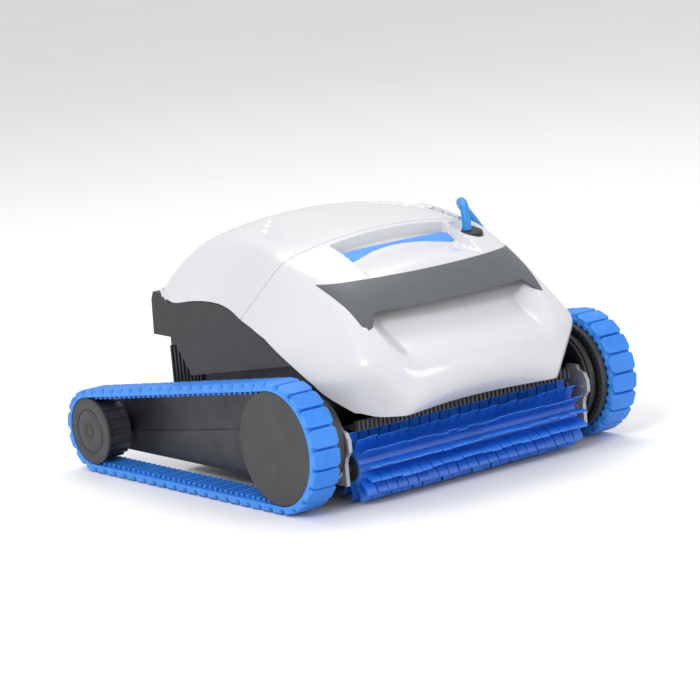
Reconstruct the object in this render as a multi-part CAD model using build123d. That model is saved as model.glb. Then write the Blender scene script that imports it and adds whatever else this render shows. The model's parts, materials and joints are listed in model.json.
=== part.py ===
from build123d import *
from math import acos, atan2, cos, degrees, hypot, pi, radians, sin, tan
import os

# Tracked robotic pool cleaner.
# Millimetres. +Z is up, the front (brush and handle) faces -Y, and +X is the robot's left-to-right
# direction seen from the front. The origin is on the floor under the middle of the robot's box.

# ---------------------------------------------------------------- driving sizes
OVERALL_WIDTH = 395.0        # outer face of one track to outer face of the other
WHEELBASE = 316.6            # front axle to rear axle, along Y
FRONT_RADIUS = 62.5          # outside of the track round the front wheel
REAR_RADIUS = 42.2           # outside of the track round the rear idler
NOSE_REACH = 80.0            # nose of the front cover ahead of the front axle
ROOF_HEIGHT = 246.0          # crest of the lid above the floor

TRACK_WIDTH = 30.5
TREAD_DEPTH = 4.0            # height of the tread pads
BELT_BODY = 4.0              # thickness of the band that carries pads and teeth
TOOTH_DEPTH = 3.0            # inner drive teeth
PAD_COUNT = 52
TEETH_PER_PAD = 2
TREAD_GROOVE = 2.2           # gap between two pads

WALL = 3.0                   # moulded walls
SEAM = 0.6                   # visible joint between two mouldings
RUN_CLEAR = 0.5              # between a turning piece and what stands round it
FIT_CLEAR = 0.05             # radial clearance of a shaft in its bush
SIDE_GAP = 7.0               # cover's widest point to the track
CORD_DIAMETER = 9.0

# ---------------------------------------------------------------- places that follow from them
FRONT_Y = (NOSE_REACH - WHEELBASE - REAR_RADIUS) / 2      # front axle
REAR_Y = FRONT_Y + WHEELBASE
FRONT_Z = FRONT_RADIUS
REAR_Z = REAR_RADIUS
TRACK_OUT = OVERALL_WIDTH / 2
TRACK_IN = TRACK_OUT - TRACK_WIDTH
COVER_HALF = TRACK_IN - SIDE_GAP
BELT_THICK = TREAD_DEPTH + BELT_BODY
FRONT_BELT_IN = FRONT_RADIUS - BELT_THICK
REAR_BELT_IN = REAR_RADIUS - BELT_THICK

# The cover's shape is drawn for a body of this size and stretched to the real one.
DRAWN_HALF, DRAWN_BASE, DRAWN_ROOF = 160.0, 316.6, 246.0
SX = COVER_HALF / DRAWN_HALF
SY = WHEELBASE / DRAWN_BASE
SZ = ROOF_HEIGHT / DRAWN_ROOF

os.makedirs("parts", exist_ok=True)


# ---------------------------------------------------------------- small helpers
def place(x, y, z):
    """A point of the cover's drawing, measured from the front axle, as a point of the robot."""
    return Vector(x * SX, FRONT_Y + y * SY, z * SZ)


def block(x0, x1, y0, y1, z0, z1):
    """A box between two corners."""
    return Pos((x0 + x1) / 2, (y0 + y1) / 2, (z0 + z1) / 2) * Box(abs(x1 - x0), abs(y1 - y0), abs(z1 - z0))


def rod_x(radius, x0, x1, y, z):
    """A round bar along X."""
    return Pos((x0 + x1) / 2, y, z) * Rot(0, 90, 0) * Cylinder(radius, abs(x1 - x0))


def rod_z(radius, x, y, z0, z1):
    """A round bar along Z."""
    return Pos(x, y, (z0 + z1) / 2) * Cylinder(radius, z1 - z0)


def tube_x(outer, inner, x0, x1, y, z):
    """A round sleeve along X."""
    return rod_x(outer, x0, x1, y, z) - rod_x(inner, x0 - 1, x1 + 1, y, z)


def side_face(points):
    """A flat face in the robot's side view from (y, z) points."""
    corners = [(0, y, z) for y, z in points]
    return make_face(Polyline(*corners, close=True))


def side_prism(points, x0, x1):
    """A side-view outline carried from x0 to x1."""
    return Pos(x0, 0, 0) * extrude(side_face(points), x1 - x0, dir=(1, 0, 0))


def drawn_prism(points, half):
    """An outline of the cover's drawing carried across the whole width."""
    moved = [place(0, y, z) for y, z in points]
    return side_prism([(p.Y, p.Z) for p in moved], -half, half)


def both_sides(solid):
    """A piece and its mirror image."""
    return solid + mirror(solid, Plane.YZ)


def mirrored(solid):
    return mirror(solid, Plane.YZ)


def save(node, shape):
    """Write one node, as one solid or as a group of separate solids."""
    solids = shape.solids()
    whole = solids[0] if len(solids) == 1 else Compound(children=list(solids))
    whole.label = node
    export_step(whole, "parts/" + node + ".step")


# ---------------------------------------------------------------- track loop
LOOP_TILT = atan2(REAR_Z - FRONT_Z, WHEELBASE)            # line of centres, from front to rear
LOOP_SPAN = hypot(WHEELBASE, REAR_Z - FRONT_Z)
LOOP_WRAP = acos((FRONT_BELT_IN - REAR_BELT_IN) / LOOP_SPAN)
LOOP_STRAIGHT = LOOP_SPAN * sin(LOOP_WRAP)
FRONT_ARC = 2 * pi - 2 * LOOP_WRAP
REAR_ARC = 2 * LOOP_WRAP
LOOP_LENGTH = FRONT_ARC * FRONT_BELT_IN + REAR_ARC * REAR_BELT_IN + 2 * LOOP_STRAIGHT


def loop_point(along, out):
    """Point (y, z) at a distance along the belt's inner line, moved outwards by out."""
    along = along % LOOP_LENGTH
    front_length = FRONT_ARC * FRONT_BELT_IN
    rear_length = REAR_ARC * REAR_BELT_IN
    top = LOOP_TILT + LOOP_WRAP
    bottom = LOOP_TILT - LOOP_WRAP
    if along < front_length:
        turn = top + along / FRONT_BELT_IN
        reach = FRONT_BELT_IN + out
        return FRONT_Y + reach * cos(turn), FRONT_Z + reach * sin(turn)
    along -= front_length
    if along < LOOP_STRAIGHT:
        share = along / LOOP_STRAIGHT
        reach = FRONT_BELT_IN * (1 - share) + REAR_BELT_IN * share + out
        y = FRONT_Y + WHEELBASE * share + reach * cos(bottom)
        return y, FRONT_Z + (REAR_Z - FRONT_Z) * share + reach * sin(bottom)
    along -= LOOP_STRAIGHT
    if along < rear_length:
        turn = bottom + along / REAR_BELT_IN
        reach = REAR_BELT_IN + out
        return REAR_Y + reach * cos(turn), REAR_Z + reach * sin(turn)
    share = 1 - (along - rear_length) / LOOP_STRAIGHT
    reach = FRONT_BELT_IN * (1 - share) + REAR_BELT_IN * share + out
    y = FRONT_Y + WHEELBASE * share + reach * cos(top)
    return y, FRONT_Z + (REAR_Z - FRONT_Z) * share + reach * sin(top)


def toothed_line(count, low, high, gap):
    """Closed line round the loop with count raised lands between out = low and out = high."""
    pitch = LOOP_LENGTH / count
    points = []
    for land in range(count):
        start = land * pitch + gap / 2
        end = (land + 1) * pitch - gap / 2
        points += [loop_point(start, low), loop_point(start, high)]
        points.append(loop_point((start + end) / 2, high))
        points += [loop_point(end, high), loop_point(end, low)]
    return points


def smooth_line(count, out):
    """Closed line round the loop at one distance from the belt's inner line."""
    return [loop_point(step * LOOP_LENGTH / count, out) for step in range(count)]


DISC_THICK = 3.0             # cover discs of wheel and idler, at the track's outer edge
DISC_X = TRACK_OUT - 0.5     # outer face of the discs


def make_track():
    """Rubber belt: tread pads outside, drive teeth inside, plain edge beside the cover disc."""
    outer = side_prism(toothed_line(PAD_COUNT, BELT_BODY, BELT_THICK, TREAD_GROOVE), TRACK_IN, TRACK_OUT)
    teeth = PAD_COUNT * TEETH_PER_PAD
    tooth_gap = LOOP_LENGTH / teeth / 2
    plain = smooth_line(teeth, 0)
    cogged = toothed_line(teeth, 0, -TOOTH_DEPTH, tooth_gap)
    edge = DISC_THICK + 2 * RUN_CLEAR
    outer -= side_prism(plain, TRACK_OUT - edge, TRACK_OUT + 1)
    outer -= side_prism(cogged, TRACK_IN - 1, TRACK_OUT - edge)
    return outer


# ---------------------------------------------------------------- ring gear and pinions
GEAR_MODULE = 2.0
RING_TEETH = 49
PINION_TEETH = 10
RING_PITCH_R = GEAR_MODULE * RING_TEETH / 2
PINION_PITCH_R = GEAR_MODULE * PINION_TEETH / 2
GEAR_CENTRES = RING_PITCH_R - PINION_PITCH_R
GEAR_WIDTH = 5.5            # depth of the ring gear's teeth
PINION_WIDTH = GEAR_WIDTH - 0.5
GEAR_IN = TRACK_IN - 7.0     # inner face of the ring gear
BRUSH_DROP = 28.0            # brush axis below the front axle
DRIVE_Y = FRONT_Y + GEAR_CENTRES
DRIVE_Z = FRONT_Z
BRUSH_Y = FRONT_Y - (GEAR_CENTRES ** 2 - BRUSH_DROP ** 2) ** 0.5
BRUSH_Z = FRONT_Z - BRUSH_DROP


def gear_line(teeth, root, tip, phase, thick_root, thick_tip):
    """Straight-sided gear outline; thickness is a share of the pitch, phase is a tooth's direction."""
    points = []
    step = 2 * pi / teeth
    for tooth in range(teeth):
        middle = phase + tooth * step
        for radius, turn in ((root, -thick_root), (tip, -thick_tip), (tip, thick_tip), (root, thick_root)):
            angle = middle + turn * step / 2
            points.append((radius * cos(angle), radius * sin(angle)))
    return points


def shifted(points, y, z):
    return [(y + a, z + b) for a, b in points]


RING_TIP = RING_PITCH_R - 0.8 * GEAR_MODULE
RING_ROOT = RING_PITCH_R + 1.0 * GEAR_MODULE
PINION_TIP = PINION_PITCH_R + 0.8 * GEAR_MODULE
PINION_ROOT = PINION_PITCH_R - 1.0 * GEAR_MODULE
RING_STEP = 2 * pi / RING_TEETH
BRUSH_ANGLE = atan2(BRUSH_Z - FRONT_Z, BRUSH_Y - FRONT_Y)


def pinion_phase(direction):
    """Direction of a pinion tooth that stands in a gap of the ring gear."""
    beyond = direction % RING_STEP
    return direction - beyond * RING_TEETH / PINION_TEETH


def make_pinion(y, z, direction, x0, x1, bore):
    outline = gear_line(PINION_TEETH, PINION_ROOT, PINION_TIP, pinion_phase(direction), 0.58, 0.24)
    gear = side_prism(shifted(outline, y, z), x0, x1)
    if bore:
        gear -= rod_x(bore, x0 - 1, x1 + 1, y, z)
    return gear


# ---------------------------------------------------------------- front wheel and its disc (right side)
AXLE_R = 5.0
WHEEL_R = FRONT_BELT_IN - TOOTH_DEPTH - RUN_CLEAR
WHEEL_OUT = DISC_X - DISC_THICK
WEB_THICK = 4.0
HUB_R = 13.0


def make_front_wheel():
    """Toothed drum under the track with an inner ring gear, a dished web and a hub."""
    rim = RING_ROOT + 2.0
    wheel = tube_x(WHEEL_R, WHEEL_R - WALL, TRACK_IN + 1, WHEEL_OUT, FRONT_Y, FRONT_Z)
    web_in = TRACK_IN - 2 * RUN_CLEAR
    wheel += rod_x(WHEEL_R, web_in, TRACK_IN + 1 + WEB_THICK, FRONT_Y, FRONT_Z)
    ring = rod_x(rim, GEAR_IN, TRACK_IN - RUN_CLEAR, FRONT_Y, FRONT_Z)
    bore = gear_line(RING_TEETH, RING_ROOT, RING_TIP, RING_STEP / 2, 0.58, 0.28)
    ring -= side_prism(shifted(bore, FRONT_Y, FRONT_Z), GEAR_IN - 1, GEAR_IN + GEAR_WIDTH)
    wheel += ring
    wheel += rod_x(HUB_R, GEAR_IN, WHEEL_OUT, FRONT_Y, FRONT_Z)
    wheel -= rod_x(AXLE_R + FIT_CLEAR, GEAR_IN - 1, WHEEL_OUT - 2.0, FRONT_Y, FRONT_Z)
    for spoke in range(6):
        turn = radians(30 + 60 * spoke)
        y = FRONT_Y + 31 * cos(turn)
        z = FRONT_Z + 31 * sin(turn)
        wheel -= rod_x(7.5, GEAR_IN, TRACK_IN + 2 + WEB_THICK, y, z)
    return wheel


def make_wheel_disc():
    """Smooth cover disc that closes the wheel's outer side."""
    radius = FRONT_BELT_IN - RUN_CLEAR
    disc = rod_x(radius, WHEEL_OUT, DISC_X, FRONT_Y, FRONT_Z)
    return chamfer(disc.edges().filter_by(GeomType.CIRCLE).sort_by(Axis.X)[-1], 0.8)


# ---------------------------------------------------------------- rear idler
IDLER_AXLE_R = 4.0
IDLER_R = REAR_BELT_IN - TOOTH_DEPTH - RUN_CLEAR
IDLER_RIBS = 18


def make_idler():
    """Ribbed roller that turns in the track's rear bend."""
    idler = rod_x(IDLER_R - 1.6, TRACK_IN + 1, WHEEL_OUT, REAR_Y, REAR_Z)
    for rib in range(IDLER_RIBS):
        turn = 360 * rib / IDLER_RIBS
        land = Pos((TRACK_IN + 1 + WHEEL_OUT) / 2, 0, IDLER_R - 1.8) * Box(WHEEL_OUT - TRACK_IN - 1, 4.0, 3.0)
        idler += Pos(0, REAR_Y, REAR_Z) * Rot(turn, 0, 0) * land
    idler &= rod_x(IDLER_R, TRACK_IN, WHEEL_OUT, REAR_Y, REAR_Z)
    idler -= rod_x(IDLER_AXLE_R + FIT_CLEAR, TRACK_IN, WHEEL_OUT - 4.0, REAR_Y, REAR_Z)
    return idler


def make_idler_cap():
    """Cap of the idler with a ring groove and a small centre dimple."""
    cap = rod_x(REAR_BELT_IN - RUN_CLEAR, WHEEL_OUT, DISC_X, REAR_Y, REAR_Z)
    cap = chamfer(cap.edges().filter_by(GeomType.CIRCLE).sort_by(Axis.X)[-1], 0.8)
    groove = REAR_BELT_IN * 0.64
    cap -= tube_x(groove + 0.6, groove - 0.6, DISC_X - 1.0, DISC_X + 1, REAR_Y, REAR_Z)
    cap -= tube_x(6.5, 5.5, DISC_X - 0.8, DISC_X + 1, REAR_Y, REAR_Z)
    return cap


# ---------------------------------------------------------------- tub, plates and floor
TUB_HALF = COVER_HALF - 26.0
TUB_FRONT = FRONT_Y + 10.0
TUB_REAR = FRONT_Y + 250.0 * SY
TUB_FLOOR = 18.0
TUB_TOP = 150.0 * SZ
PLATE_IN = TRACK_IN - 16.0   # inner face of the side plates
PLATE_THICK = 6.0
PLATE_OUT = PLATE_IN + PLATE_THICK
INLET_X0, INLET_X1 = 26.0, 100.0
INLET_Y0 = TUB_REAR - 125.0
INLET_Y1 = INLET_Y0 + 55.0
SHAFT_R = 4.0
SHAFT_HOLE = SHAFT_R + 2.0


def inlet_cut(grow, z0, z1):
    """Both water inlets as cutters."""
    return both_sides(block(INLET_X0 - grow, INLET_X1 + grow, INLET_Y0 - grow, INLET_Y1 + grow, z0, z1))


def make_tub():
    """Open-topped bottom body with ribbed rear corners, inlets and shaft holes."""
    tub = block(-TUB_HALF, TUB_HALF, TUB_FRONT, TUB_REAR, TUB_FLOOR, TUB_TOP)
    tub -= block(-TUB_HALF + WALL, TUB_HALF - WALL, TUB_FRONT + WALL, TUB_REAR - WALL,
                 TUB_FLOOR + WALL, TUB_TOP + 1)
    for rib in range(9):
        y = TUB_REAR - 3.0 - rib * 6.0
        tub += both_sides(block(TUB_HALF - 1, TUB_HALF + 3.0, y - 1.2, y + 1.2, 60.0, TUB_TOP - 25.0))
    ribs = 27
    for rib in range(ribs):
        x = (rib - (ribs - 1) / 2) * (2 * TUB_HALF - 10) / (ribs - 1)
        tub += block(x - 1.2, x + 1.2, TUB_REAR - 1, TUB_REAR + 3.0, 60.0, TUB_TOP - 25.0)
    tub -= inlet_cut(0, TUB_FLOOR - 1, TUB_FLOOR + WALL + 1)
    tub -= both_sides(rod_x(SHAFT_HOLE, TUB_HALF - WALL - 1, TUB_HALF + 1, DRIVE_Y, DRIVE_Z))
    return tub


PLATE_FLOOR = 4.0            # thickness of the inlet plate under the tub


def make_inlet_plate():
    """Bottom plate with two inlet throats and cross bars, screwed under the tub."""
    plate = block(-TUB_HALF + 8, TUB_HALF - 8, TUB_FRONT + 8, TUB_REAR - 8,
                  TUB_FLOOR - PLATE_FLOOR, TUB_FLOOR)
    plate -= inlet_cut(-2.0, TUB_FLOOR - PLATE_FLOOR - 1, TUB_FLOOR + 1)
    for bar in range(3):
        x = INLET_X0 + (bar + 1) * (INLET_X1 - INLET_X0) / 4
        plate += both_sides(block(x - 1, x + 1, INLET_Y0, INLET_Y1, TUB_FLOOR - PLATE_FLOOR, TUB_FLOOR - 1))
    for x, y in SCREW_SPOTS:
        plate -= rod_z(SCREW_R, x, y, TUB_FLOOR - PLATE_FLOOR - 1, TUB_FLOOR + 1)
        plate -= rod_z(SCREW_HEAD_R, x, y, TUB_FLOOR - PLATE_FLOOR - 1, TUB_FLOOR - PLATE_FLOOR + SCREW_HEAD)
    return plate


SCREW_R = 1.5
SCREW_HEAD_R = 3.0
SCREW_HEAD = 2.0
SCREW_SPOTS = [(sx * (TUB_HALF - 16), y) for sx in (-1, 1) for y in (TUB_FRONT + 16, TUB_REAR - 16)]


def make_plate_screws():
    """Screws that hold the inlet plate to the tub's floor."""
    screws = []
    for x, y in SCREW_SPOTS:
        low = TUB_FLOOR - PLATE_FLOOR
        head = rod_z(SCREW_HEAD_R - 0.2, x, y, low + 0.2, low + SCREW_HEAD)
        screws.append(head + rod_z(SCREW_R - 0.1, x, y, low + 1, TUB_FLOOR))
    return Compound(children=[s.solids()[0] for s in screws])


def loop_face_points(front_r, rear_r, steps=40):
    """Side-view outline of two circles on the axles and their common tangents."""
    wrap = acos((front_r - rear_r) / LOOP_SPAN)
    top = LOOP_TILT + wrap
    points = []
    for step in range(steps + 1):
        turn = top + (2 * pi - 2 * wrap) * step / steps
        points.append((FRONT_Y + front_r * cos(turn), FRONT_Z + front_r * sin(turn)))
    bottom = LOOP_TILT - wrap
    for step in range(steps + 1):
        turn = bottom + 2 * wrap * step / steps
        points.append((REAR_Y + rear_r * cos(turn), REAR_Z + rear_r * sin(turn)))
    return points


PLATE_FRONT_R = 46.0
PLATE_REAR_R = 26.0
RIB_LINE = 2.0               # raised panel on the plate's outer face


def make_side_plate():
    """Plate that carries both axles, with a stepped outer face, a rim and mounting rails to the tub."""
    outline = loop_face_points(PLATE_FRONT_R, PLATE_REAR_R)
    plate = side_prism(outline, PLATE_IN, PLATE_OUT)
    rise = block(PLATE_OUT - 1, PLATE_OUT + RIB_LINE, FRONT_Y + 60, REAR_Y - 30, -60, 0)
    tilt = degrees(atan2(FRONT_RADIUS * 2 - REAR_RADIUS * 2, WHEELBASE))
    rise = Pos(0, FRONT_Y, FRONT_Z + 12) * Rot(-tilt, 0, 0) * Pos(0, -FRONT_Y, 0) * rise
    plate += rise & side_prism(loop_face_points(PLATE_FRONT_R - 4, PLATE_REAR_R - 4), PLATE_IN, PLATE_OUT + 5)
    plate += tube_x(PLATE_FRONT_R - 2, PLATE_FRONT_R - 6, PLATE_IN - WALL, PLATE_IN + 1, FRONT_Y, FRONT_Z)
    for z in (TUB_FLOOR + 14, TUB_FLOOR + 44):
        plate += block(TUB_HALF, PLATE_IN + 1, TUB_FRONT + 50, TUB_REAR - 60, z, z + 4)
    plate += rod_x(AXLE_R + 6, PLATE_IN, GEAR_IN - RUN_CLEAR, FRONT_Y, FRONT_Z)
    plate += rod_x(IDLER_AXLE_R + 6, PLATE_IN, TRACK_IN + 0.5, REAR_Y, REAR_Z)
    plate -= rod_x(AXLE_R, PLATE_IN - 10, TRACK_IN, FRONT_Y, FRONT_Z)
    plate -= rod_x(IDLER_AXLE_R, PLATE_IN - 1, TRACK_IN + 1, REAR_Y, REAR_Z)
    plate -= rod_x(SHAFT_HOLE, PLATE_IN - 10, PLATE_OUT + 10, DRIVE_Y, DRIVE_Z)
    plate -= rod_x(BUSH_R, PLATE_IN - 10, PLATE_OUT + 10, BRUSH_Y, BRUSH_Z)
    return plate


def make_axle():
    """Steel stub axle of the front wheel."""
    return rod_x(AXLE_R, PLATE_IN, WHEEL_OUT - 3.0, FRONT_Y, FRONT_Z)


def make_idler_axle():
    return rod_x(IDLER_AXLE_R, PLATE_IN, WHEEL_OUT - 5.0, REAR_Y, REAR_Z)


# ---------------------------------------------------------------- brush
BRUSH_R = BRUSH_Z - 0.5      # tips end just above the floor
BRUSH_HALF = PLATE_IN - 18.0
SLEEVE_R = 16.0
CORE_R = 12.5
BLADES = 14
BLADE_THICK = 2.0
TAB_PITCH = 12.0
BUSH_R = 7.0
BRUSH_SHAFT_R = 4.0
BRACKET_THICK = 4.0


def make_brush_core():
    """Tube with a shaft end on each side; the left shaft carries the drive gear."""
    core = rod_x(CORE_R, -BRUSH_HALF, BRUSH_HALF, BRUSH_Y, BRUSH_Z)
    core += rod_x(BRUSH_SHAFT_R, -GEAR_IN - PINION_WIDTH, PLATE_OUT - 1, BRUSH_Y, BRUSH_Z)
    return core


def make_brush_combs():
    """Soft sleeve with long blades cut into tabs."""
    combs = rod_x(SLEEVE_R, -BRUSH_HALF, BRUSH_HALF, BRUSH_Y, BRUSH_Z)
    for blade in range(BLADES):
        fin = Pos(0, 0, (CORE_R + 1 + BRUSH_R) / 2) * Box(2 * BRUSH_HALF, BLADE_THICK, BRUSH_R - CORE_R - 1)
        combs += Pos(0, BRUSH_Y, BRUSH_Z) * Rot(360 * blade / BLADES, 0, 0) * fin
    combs &= rod_x(BRUSH_R, -BRUSH_HALF, BRUSH_HALF, BRUSH_Y, BRUSH_Z)
    combs -= rod_x(CORE_R, -BRUSH_HALF - 1, BRUSH_HALF + 1, BRUSH_Y, BRUSH_Z)
    cuts = int(2 * BRUSH_HALF / TAB_PITCH)
    rings = []
    for cut in range(1, cuts):
        x = -BRUSH_HALF + cut * 2 * BRUSH_HALF / cuts
        rings.append(tube_x(BRUSH_R + 2, BRUSH_R - 8, x - 0.5, x + 0.5, BRUSH_Y, BRUSH_Z))
    return combs - rings


def make_brush_gear():
    """Gear on the brush's left shaft end, driven by the left wheel's ring gear."""
    return make_pinion(BRUSH_Y, BRUSH_Z, BRUSH_ANGLE, -GEAR_IN - PINION_WIDTH, -GEAR_IN, BRUSH_SHAFT_R)


def make_brush_bush():
    """Plain bush that carries the brush's shaft in the side plate."""
    bush = rod_x(BUSH_R, PLATE_IN - BRACKET_THICK - 3, PLATE_OUT, BRUSH_Y, BRUSH_Z)
    return bush - rod_x(BRUSH_SHAFT_R + FIT_CLEAR, PLATE_IN - 20, PLATE_OUT + 1, BRUSH_Y, BRUSH_Z)


def make_brush_bracket():
    """Light metal bracket over the brush's bearing: two leaves with a stepped edge round the bush."""
    x0 = PLATE_IN - WALL - BRACKET_THICK
    outline = [(-13, -13), (13, -13), (13, 10), (24, 14), (24, 34), (18, 40), (10, 40), (7, 45), (-7, 45)]
    outline += [(-10, 40), (-17, 38), (-21, 31), (-21, 20), (-15, 14), (-13, 8)]
    bracket = side_prism(shifted(outline, BRUSH_Y, BRUSH_Z), x0, x0 + BRACKET_THICK)
    bracket -= block(x0 - 1, x0 + 1.2, BRUSH_Y - 0.8, BRUSH_Y + 0.8, BRUSH_Z + 10, BRUSH_Z + 50)
    bracket += block(x0 - 2.5, x0 + 1, BRUSH_Y - 16, BRUSH_Y - 6, BRUSH_Z + 24, BRUSH_Z + 26)
    bracket += block(x0 - 2.5, x0 + 1, BRUSH_Y + 6, BRUSH_Y + 16, BRUSH_Z + 24, BRUSH_Z + 26)
    return bracket - rod_x(BUSH_R, x0 - 5, x0 + 10, BRUSH_Y, BRUSH_Z)


GUARD_GAP = 2.5
GUARD_RIB_PITCH = 5.0


def make_front_grill():
    """Black guard over the brush: an arc behind it and a ribbed upright strip under the cover."""
    inner = BRUSH_R + GUARD_GAP
    half = BRUSH_HALF - 2.0
    guard = tube_x(inner + WALL, inner, -half, half, BRUSH_Y, BRUSH_Z)
    keep = [(0, 0), (60 * cos(radians(25)), 60 * sin(radians(25))), (60, 60), (-16, 60)]
    guard &= side_prism(shifted(keep, BRUSH_Y, BRUSH_Z), -half, half)
    strip_y = BRUSH_Y - 12.0
    strip_top = place(0, 0, 80).Z - 0.5
    guard += block(-half, half, strip_y, strip_y + WALL, BRUSH_Z + inner - 1.0, strip_top)
    ribs = int(2 * half / GUARD_RIB_PITCH)
    for rib in range(ribs):
        x = -half + (rib + 0.5) * 2 * half / ribs
        guard += block(x - 1, x + 1, strip_y - 1.5, strip_y + 1, BRUSH_Z + inner - 1.0, strip_top)
    return guard - rod_x(inner, -half - 1, half + 1, BRUSH_Y, BRUSH_Z)


# ---------------------------------------------------------------- outer covers
CROWN_AXIS_Z = -250.0        # the roof's cross-section bends about a line this far down
SEAM_ROOF = (60.0, 300.0)
SEAM_TOP = (67.0, 221.0)
SEAM_FOOT = (103.0, 166.0)
LID_EDGE = [SEAM_FOOT, (141.0, 175.5), (174.0, 176.0), (239.0, 170.0), (258.0, 178.0)]
COVER_EDGE = [SEAM_FOOT, (55.0, 154.0), (30.0, 140.0), (-12.0, 117.0), (-23.0, 103.0), (-36.0, 81.0)]
REAR_FACE = 272.0            # rear face of the lid, from the front axle
HINGE_Z = 178.0
SIDE_PLANES = [((119.5, 67.0, 221.0), (1.0, -0.4167, 0.6916)), ((119.5, 67.0, 221.0), (1.0, 0.0687, 0.5995))]
CHIN_PLANE = ((155.0, -18.0, 110.0), (0.674, -0.640, -0.370))
PLAN_OUTLINE = [(0, -82), (60, -79), (112, -69), (138, -50), (153, -24), (161, 8)]
PLAN_REAR = [(161, 210), (152, 243), (134, 265), (60, 272.5), (0, 273.5)]
ROOF_LINE = [(-52, 80), (-70, 95), (-79.5, 114), (-74, 136), (-50, 164), (-25, 187), (10, 211.5), (50, 229.5)]
ROOF_LINE += [(90, 239.5), (130, 244.5), (160, 246), (195, 243.5), (225, 234), (248, 218), (264, 198)]
ROOF_LINE.append((273, 178))


def cut_by(body, point, normal, inset):
    """Keep the part of the body behind a plane, and behind its mirror image."""
    for side in (1, -1):
        spot = place(side * point[0], point[1], point[2])
        way = Vector(side * normal[0] / SX, normal[1] / SY, normal[2] / SZ).normalized()
        body = split(body, bisect_by=Plane(origin=spot - way * inset, z_dir=way), keep=Keep.BOTTOM)
    return body


def moved_in(points, inset, way, view):
    """Points of a side or plan outline moved square to it by inset, to its left (way 1) or right (way -1)."""
    moved = []
    for index, point in enumerate(points):
        before = points[max(index - 1, 0)]
        after = points[min(index + 1, len(points) - 1)]
        along = (after - before).normalized()
        side = Vector(0, -along.Z, along.Y) if view == "side" else Vector(-along.Y, along.X, 0)
        moved.append(point + side * inset * way)
    return moved


def cover_body(inset):
    """The covers' whole outer volume, or the volume inside a wall of the given thickness."""
    roof = moved_in([place(0, y, z) for y, z in ROOF_LINE], inset, -1, "side")
    end, start = roof[-1], roof[0]
    floor = place(0, 0, 60).Z
    outline = Spline(*roof) + Polyline(end, (0, end.Y, floor), (0, start.Y + 10, floor), start)
    axis = Axis((0, 0, CROWN_AXIS_Z), (0, 1, 0))
    body = revolve(make_face(outline), axis, 60).rotate(axis, -30)
    for point, normal in SIDE_PLANES + [CHIN_PLANE]:
        body = cut_by(body, point, normal, inset)
    front = moved_in([place(x, y, 0) for x, y in PLAN_OUTLINE], inset, 1, "plan")
    rear = moved_in([place(x, y, 0) for x, y in PLAN_REAR], inset, 1, "plan")
    front[0] = Vector(0, front[0].Y, 0)
    rear[-1] = Vector(0, rear[-1].Y, 0)
    half = Spline(*front) + Line(front[-1], rear[0]) + Spline(*rear) + Line(rear[-1], front[0])
    plan = make_face(half)
    plan = plan + mirror(plan, Plane.YZ)
    return body & Pos(0, 0, -10) * extrude(plan, ROOF_HEIGHT + 60)


NOTCH_X = 97.0               # the fixed cover reaches back on the right, where the cable comes down
NOTCH_Y = 107.0
HINGE_X = 62.0               # middle of each rear hinge
HINGE_PIN_R = 2.5
KNUCKLE_R = 5.0
KNUCKLE_HALF = 8.0
GROMMET = (86.0, 43.5, 214.0)
GROMMET_R = 15.0
GROMMET_TILT = 10.0
FLAP_HALF = 66.0
BAND_DEPTH = 2.0             # the handle band lies in a recess this deep
SCOOP_R = 25.0               # finger space behind and under the band
SCOOP_HALF = 84.0
FLAP_THICK = 3.0
FLAP_LONG = 17.0
FLAP_SLOPE = 30.0


def hinge_point():
    return place(0, REAR_FACE + 2.0, HINGE_Z)


def lid_zone(shift):
    """Side-view outline of everything that opens, moved in by half the seam."""
    points = [(SEAM_ROOF[0] + shift, SEAM_ROOF[1]), (SEAM_TOP[0] + shift, SEAM_TOP[1])]
    points += [(y + shift, z + shift) for y, z in LID_EDGE]
    return points + [(320, LID_EDGE[-1][1] + shift), (320, 300)]


def notch_block(grow):
    corner = place(NOTCH_X, NOTCH_Y, 0)
    return block(corner.X - grow, COVER_HALF + 20, FRONT_Y - 100, corner.Y + grow, 60, ROOF_HEIGHT + 60)


def hinge_pocket(grow):
    """Room round the rear hinges' knuckles."""
    pivot = hinge_point()
    reach = KNUCKLE_R + 1.5 + grow
    pocket = [block(side * HINGE_X - 26 - grow, side * HINGE_X + 26 + grow, pivot.Y - reach, pivot.Y + 20,
                    pivot.Z - reach, pivot.Z + reach) for side in (-1, 1)]
    return pocket[0] + pocket[1]


def knuckles(low, high, up):
    """Knuckles on both rear hinges between two distances from each hinge's middle, with their leaf."""
    pivot = hinge_point()
    parts = []
    for side in (-1, 1):
        for flip in ((1,) if low < 0 else (-1, 1)):
            x0 = side * HINGE_X + flip * low
            x1 = side * HINGE_X + flip * high
            z1 = pivot.Z + up * (KNUCKLE_R + 3.5)
            leaf = block(x0, x1, pivot.Y - KNUCKLE_R - 5.0, pivot.Y - 1.5, pivot.Z + up * 1.5, z1)
            part = rod_x(KNUCKLE_R, x0, x1, pivot.Y, pivot.Z) + leaf
            bore = HINGE_PIN_R + (FIT_CLEAR if up > 0 else 0)
            parts.append(part - rod_x(bore, min(x0, x1) - 1, max(x0, x1) + 1, pivot.Y, pivot.Z))
    return parts


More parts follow.
